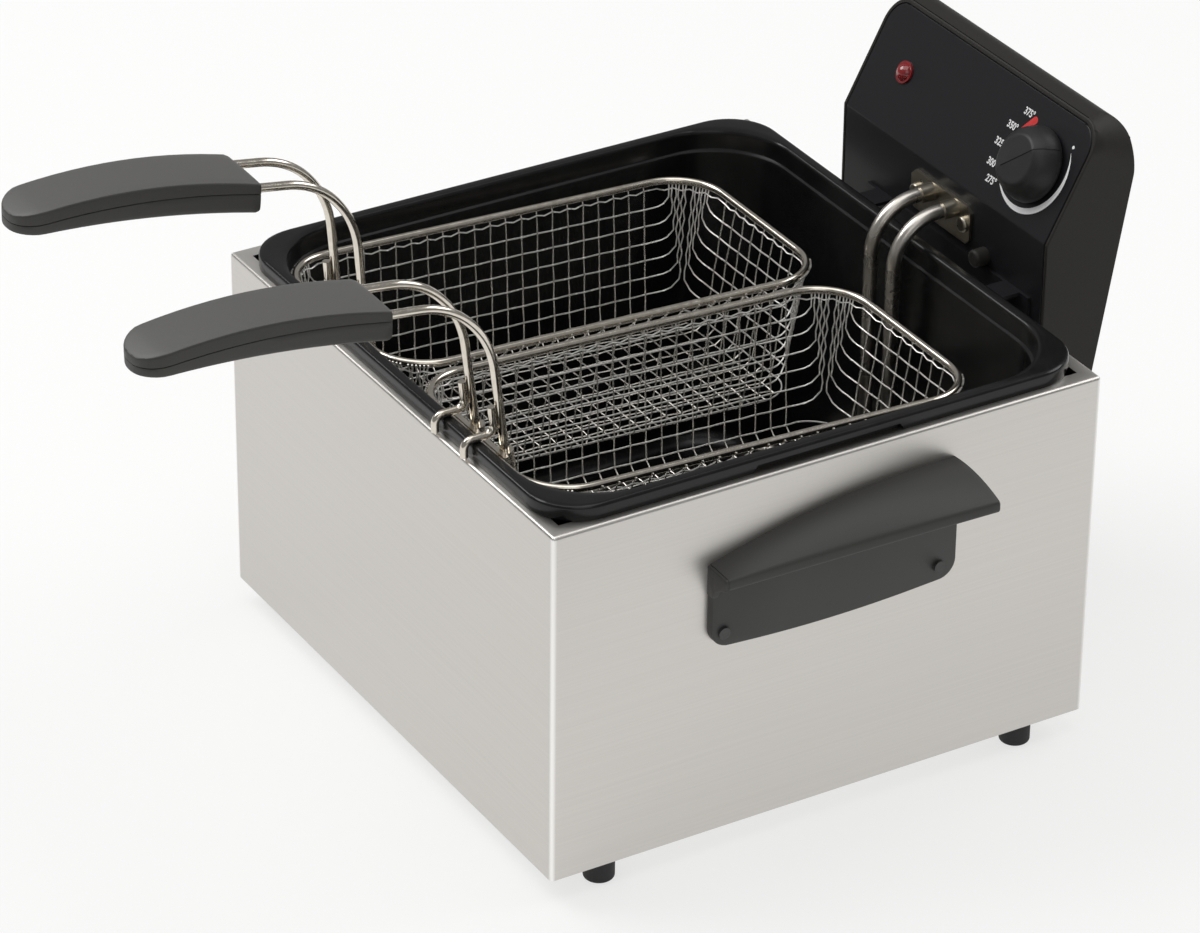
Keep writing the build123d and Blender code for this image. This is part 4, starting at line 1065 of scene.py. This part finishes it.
# Print on the panel: plain dial numbers, a heat crescent, a dot and a red mark
print_lift = 0.06
number_size = 0.0047
number_weight = 0.00013
number_narrow = 0.84
dial_numbers = (
    ("375", 34.7, 45.0),
    ("350", 28.3, 35.9),
    ("325", 25.7, 26.5),
    ("300", 26.8, 16.9),
    ("275", 30.9, 10.0),
)
crescent_begin = -142.6
crescent_steps = 72
crescent_rim = crescent_outer + 0.05
dot_place = (69.7, 43.3)
dot_radius = 0.8
mark_tail = Vector((32.7, 35.6))
mark_bulb = Vector((40.0, 43.6))
mark_half = 1.85


def print_piece(name, points, faces, look):
    piece = new_piece(name, [(x, y, print_lift) for x, y in points], faces)
    if len(faces) == 1:
        pick(piece)
        bpy.ops.object.mode_set(mode="EDIT")
        bpy.ops.mesh.select_all(action="SELECT")
        bpy.ops.mesh.quads_convert_to_tris()
        bpy.ops.object.mode_set(mode="OBJECT")
    piece.matrix_world = panel_place
    settle(piece)
    finish_piece(piece, name, "control_head", "panel_black", look)


def make_number(words, x, y):
    start_clean()
    bpy.ops.object.text_add()
    mark = bpy.context.object
    mark.data.body = words + "°"
    mark.data.size = number_size
    mark.data.offset = number_weight
    mark.data.align_x = "CENTER"
    mark.data.align_y = "CENTER"
    mark.scale = (number_narrow, 1, 1)
    pick(mark)
    bpy.ops.object.convert(target="MESH")
    mark = bpy.context.object
    settle(mark)
    mark.matrix_world = panel_place @ Matrix.Translation((x * mm, y * mm, print_lift * mm))
    settle(mark)
    finish_piece(mark, "dial_number_" + words, "control_head", "panel_black", white_print_look)


def make_crescent():
    inner = []
    outer = []
    shift_x, shift_up = crescent_shift
    for step in range(crescent_steps + 1):
        turn = radians(crescent_begin + 180 * step / crescent_steps)
        ahead = shift_x * cos(turn) + shift_up * sin(turn)
        reach = ahead + (crescent_inner ** 2 - shift_x ** 2 - shift_up ** 2 + ahead ** 2) ** 0.5
        reach = min(reach, crescent_outer)
        inner.append((crescent_x + reach * cos(turn), crescent_up + reach * sin(turn)))
        outer.append((crescent_x + crescent_rim * cos(turn), crescent_up + crescent_rim * sin(turn)))
    count = len(inner)
    faces = [(k, k + 1, count + k + 1, count + k) for k in range(count - 1)]
    print_piece("heat_crescent", inner + outer, faces, white_print_look)


def make_print():
    for words, x, y in dial_numbers:
        make_number(words, x, y)
    make_crescent()
    turns = [2 * pi * k / 20 for k in range(20)]
    dot = [(dot_place[0] + dot_radius * cos(turn), dot_place[1] + dot_radius * sin(turn)) for turn in turns]
    print_piece("dial_dot", dot, [tuple(range(len(dot)))], white_print_look)
    span = mark_bulb - mark_tail
    along = span.normalized()
    across = Vector((-along.y, along.x))
    outline = [mark_tail]
    for step in range(1, 9):
        outline.append(mark_tail + span * step / 8 - across * mark_half * (step / 8) ** 0.85)
    for step in range(1, 16):
        turn = pi * step / 16
        outline.append(mark_bulb + along * mark_half * sin(turn) - across * mark_half * cos(turn))
    for step in range(8, 0, -1):
        outline.append(mark_tail + span * step / 8 + across * mark_half * (step / 8) ** 0.85)
    print_piece("heat_mark", outline, [tuple(range(len(outline)))], red_print_look)


make_housing()
make_pot()
for side, centre_x, lean in (("right", 57.5, 0.0), ("left", -65.5, 2.6)):
    make_basket_mesh(side, centre_x)
    make_grip(side, centre_x, lean)
    make_handle_wire(side, centre_x, lean)
make_knob()
make_print()
rounded_copy("control_front_panel", "front_panel_moulding", "control_head", "panel_black", panel_look, 0.0006)
rounded_copy("control_rear_shell", "rear_shell_moulding", "control_head", "shell_black", shell_look, 0.0007)
make_side_handle("right", 1)
make_side_handle("left", -1)


# Stage and light
floor_height = -0.0121
floor_glow = 0.68
world_light = 0.25
look_at = (0, 0, 0.1)


def set_stage():
    start_clean()
    bpy.ops.mesh.primitive_plane_add(size=12, location=(0, 0, floor_height))
    floor = bpy.context.object
    floor.name = "floor"
    settle(floor)
    look, tree, shader = new_look("floor_white")
    shader.inputs["Base Color"].default_value = (0.92, 0.92, 0.915, 1)
    shader.inputs["Roughness"].default_value = 0.9
    shader.inputs["Specular IOR Level"].default_value = 0.1
    glow = tree.nodes.new("ShaderNodeEmission")
    glow.inputs["Color"].default_value = (1, 1, 0.995, 1)
    path = tree.nodes.new("ShaderNodeLightPath")
    seen = tree.nodes.new("ShaderNodeMath")
    seen.operation = "MAXIMUM"
    share = tree.nodes.new("ShaderNodeMath")
    share.operation = "MULTIPLY"
    share.inputs[1].default_value = floor_glow
    blend = tree.nodes.new("ShaderNodeMixShader")
    tree.links.new(path.outputs["Is Camera Ray"], seen.inputs[0])
    tree.links.new(path.outputs["Is Glossy Ray"], seen.inputs[1])
    tree.links.new(seen.outputs["Value"], share.inputs[0])
    tree.links.new(share.outputs["Value"], blend.inputs["Fac"])
    tree.links.new(shader.outputs["BSDF"], blend.inputs[1])
    tree.links.new(glow.outputs["Emission"], blend.inputs[2])
    tree.links.new(blend.outputs["Shader"], tree.nodes["Material Output"].inputs["Surface"])
    floor.data.materials.append(look)

    world = bpy.data.worlds.new("studio")
    bpy.context.scene.world = world
    world.use_nodes = True
    air = world.node_tree.nodes["Background"]
    air.inputs["Color"].default_value = (1, 1, 1, 1)
    air.inputs["Strength"].default_value = world_light


def soft_box(name, place, aim, width, height, power):
    light = bpy.data.lights.new(name, "AREA")
    light.shape = "RECTANGLE"
    light.size = width
    light.size_y = height
    light.energy = power
    lamp = bpy.data.objects.new(name, light)
    bpy.context.scene.collection.objects.link(lamp)
    lamp.location = place
    lamp.rotation_euler = (Vector(aim) - Vector(place)).to_track_quat("-Z", "Y").to_euler()


place_camera()
set_stage()
soft_box("key_light", (-1.4, -1.2, 2.2), look_at, 1.6, 1.6, 40)
soft_box("top_light", (0.1, -0.1, 2.4), look_at, 2.0, 2.0, 17)
soft_box("fill_light", (1.8, -0.6, 1.6), look_at, 1.4, 1.4, 4)
soft_box("back_light", (0.2, 2.0, 1.8), (0, 0.1, 0.15), 1.8, 1.0, 16)
bpy.context.scene.view_settings.view_transform = "Standard"
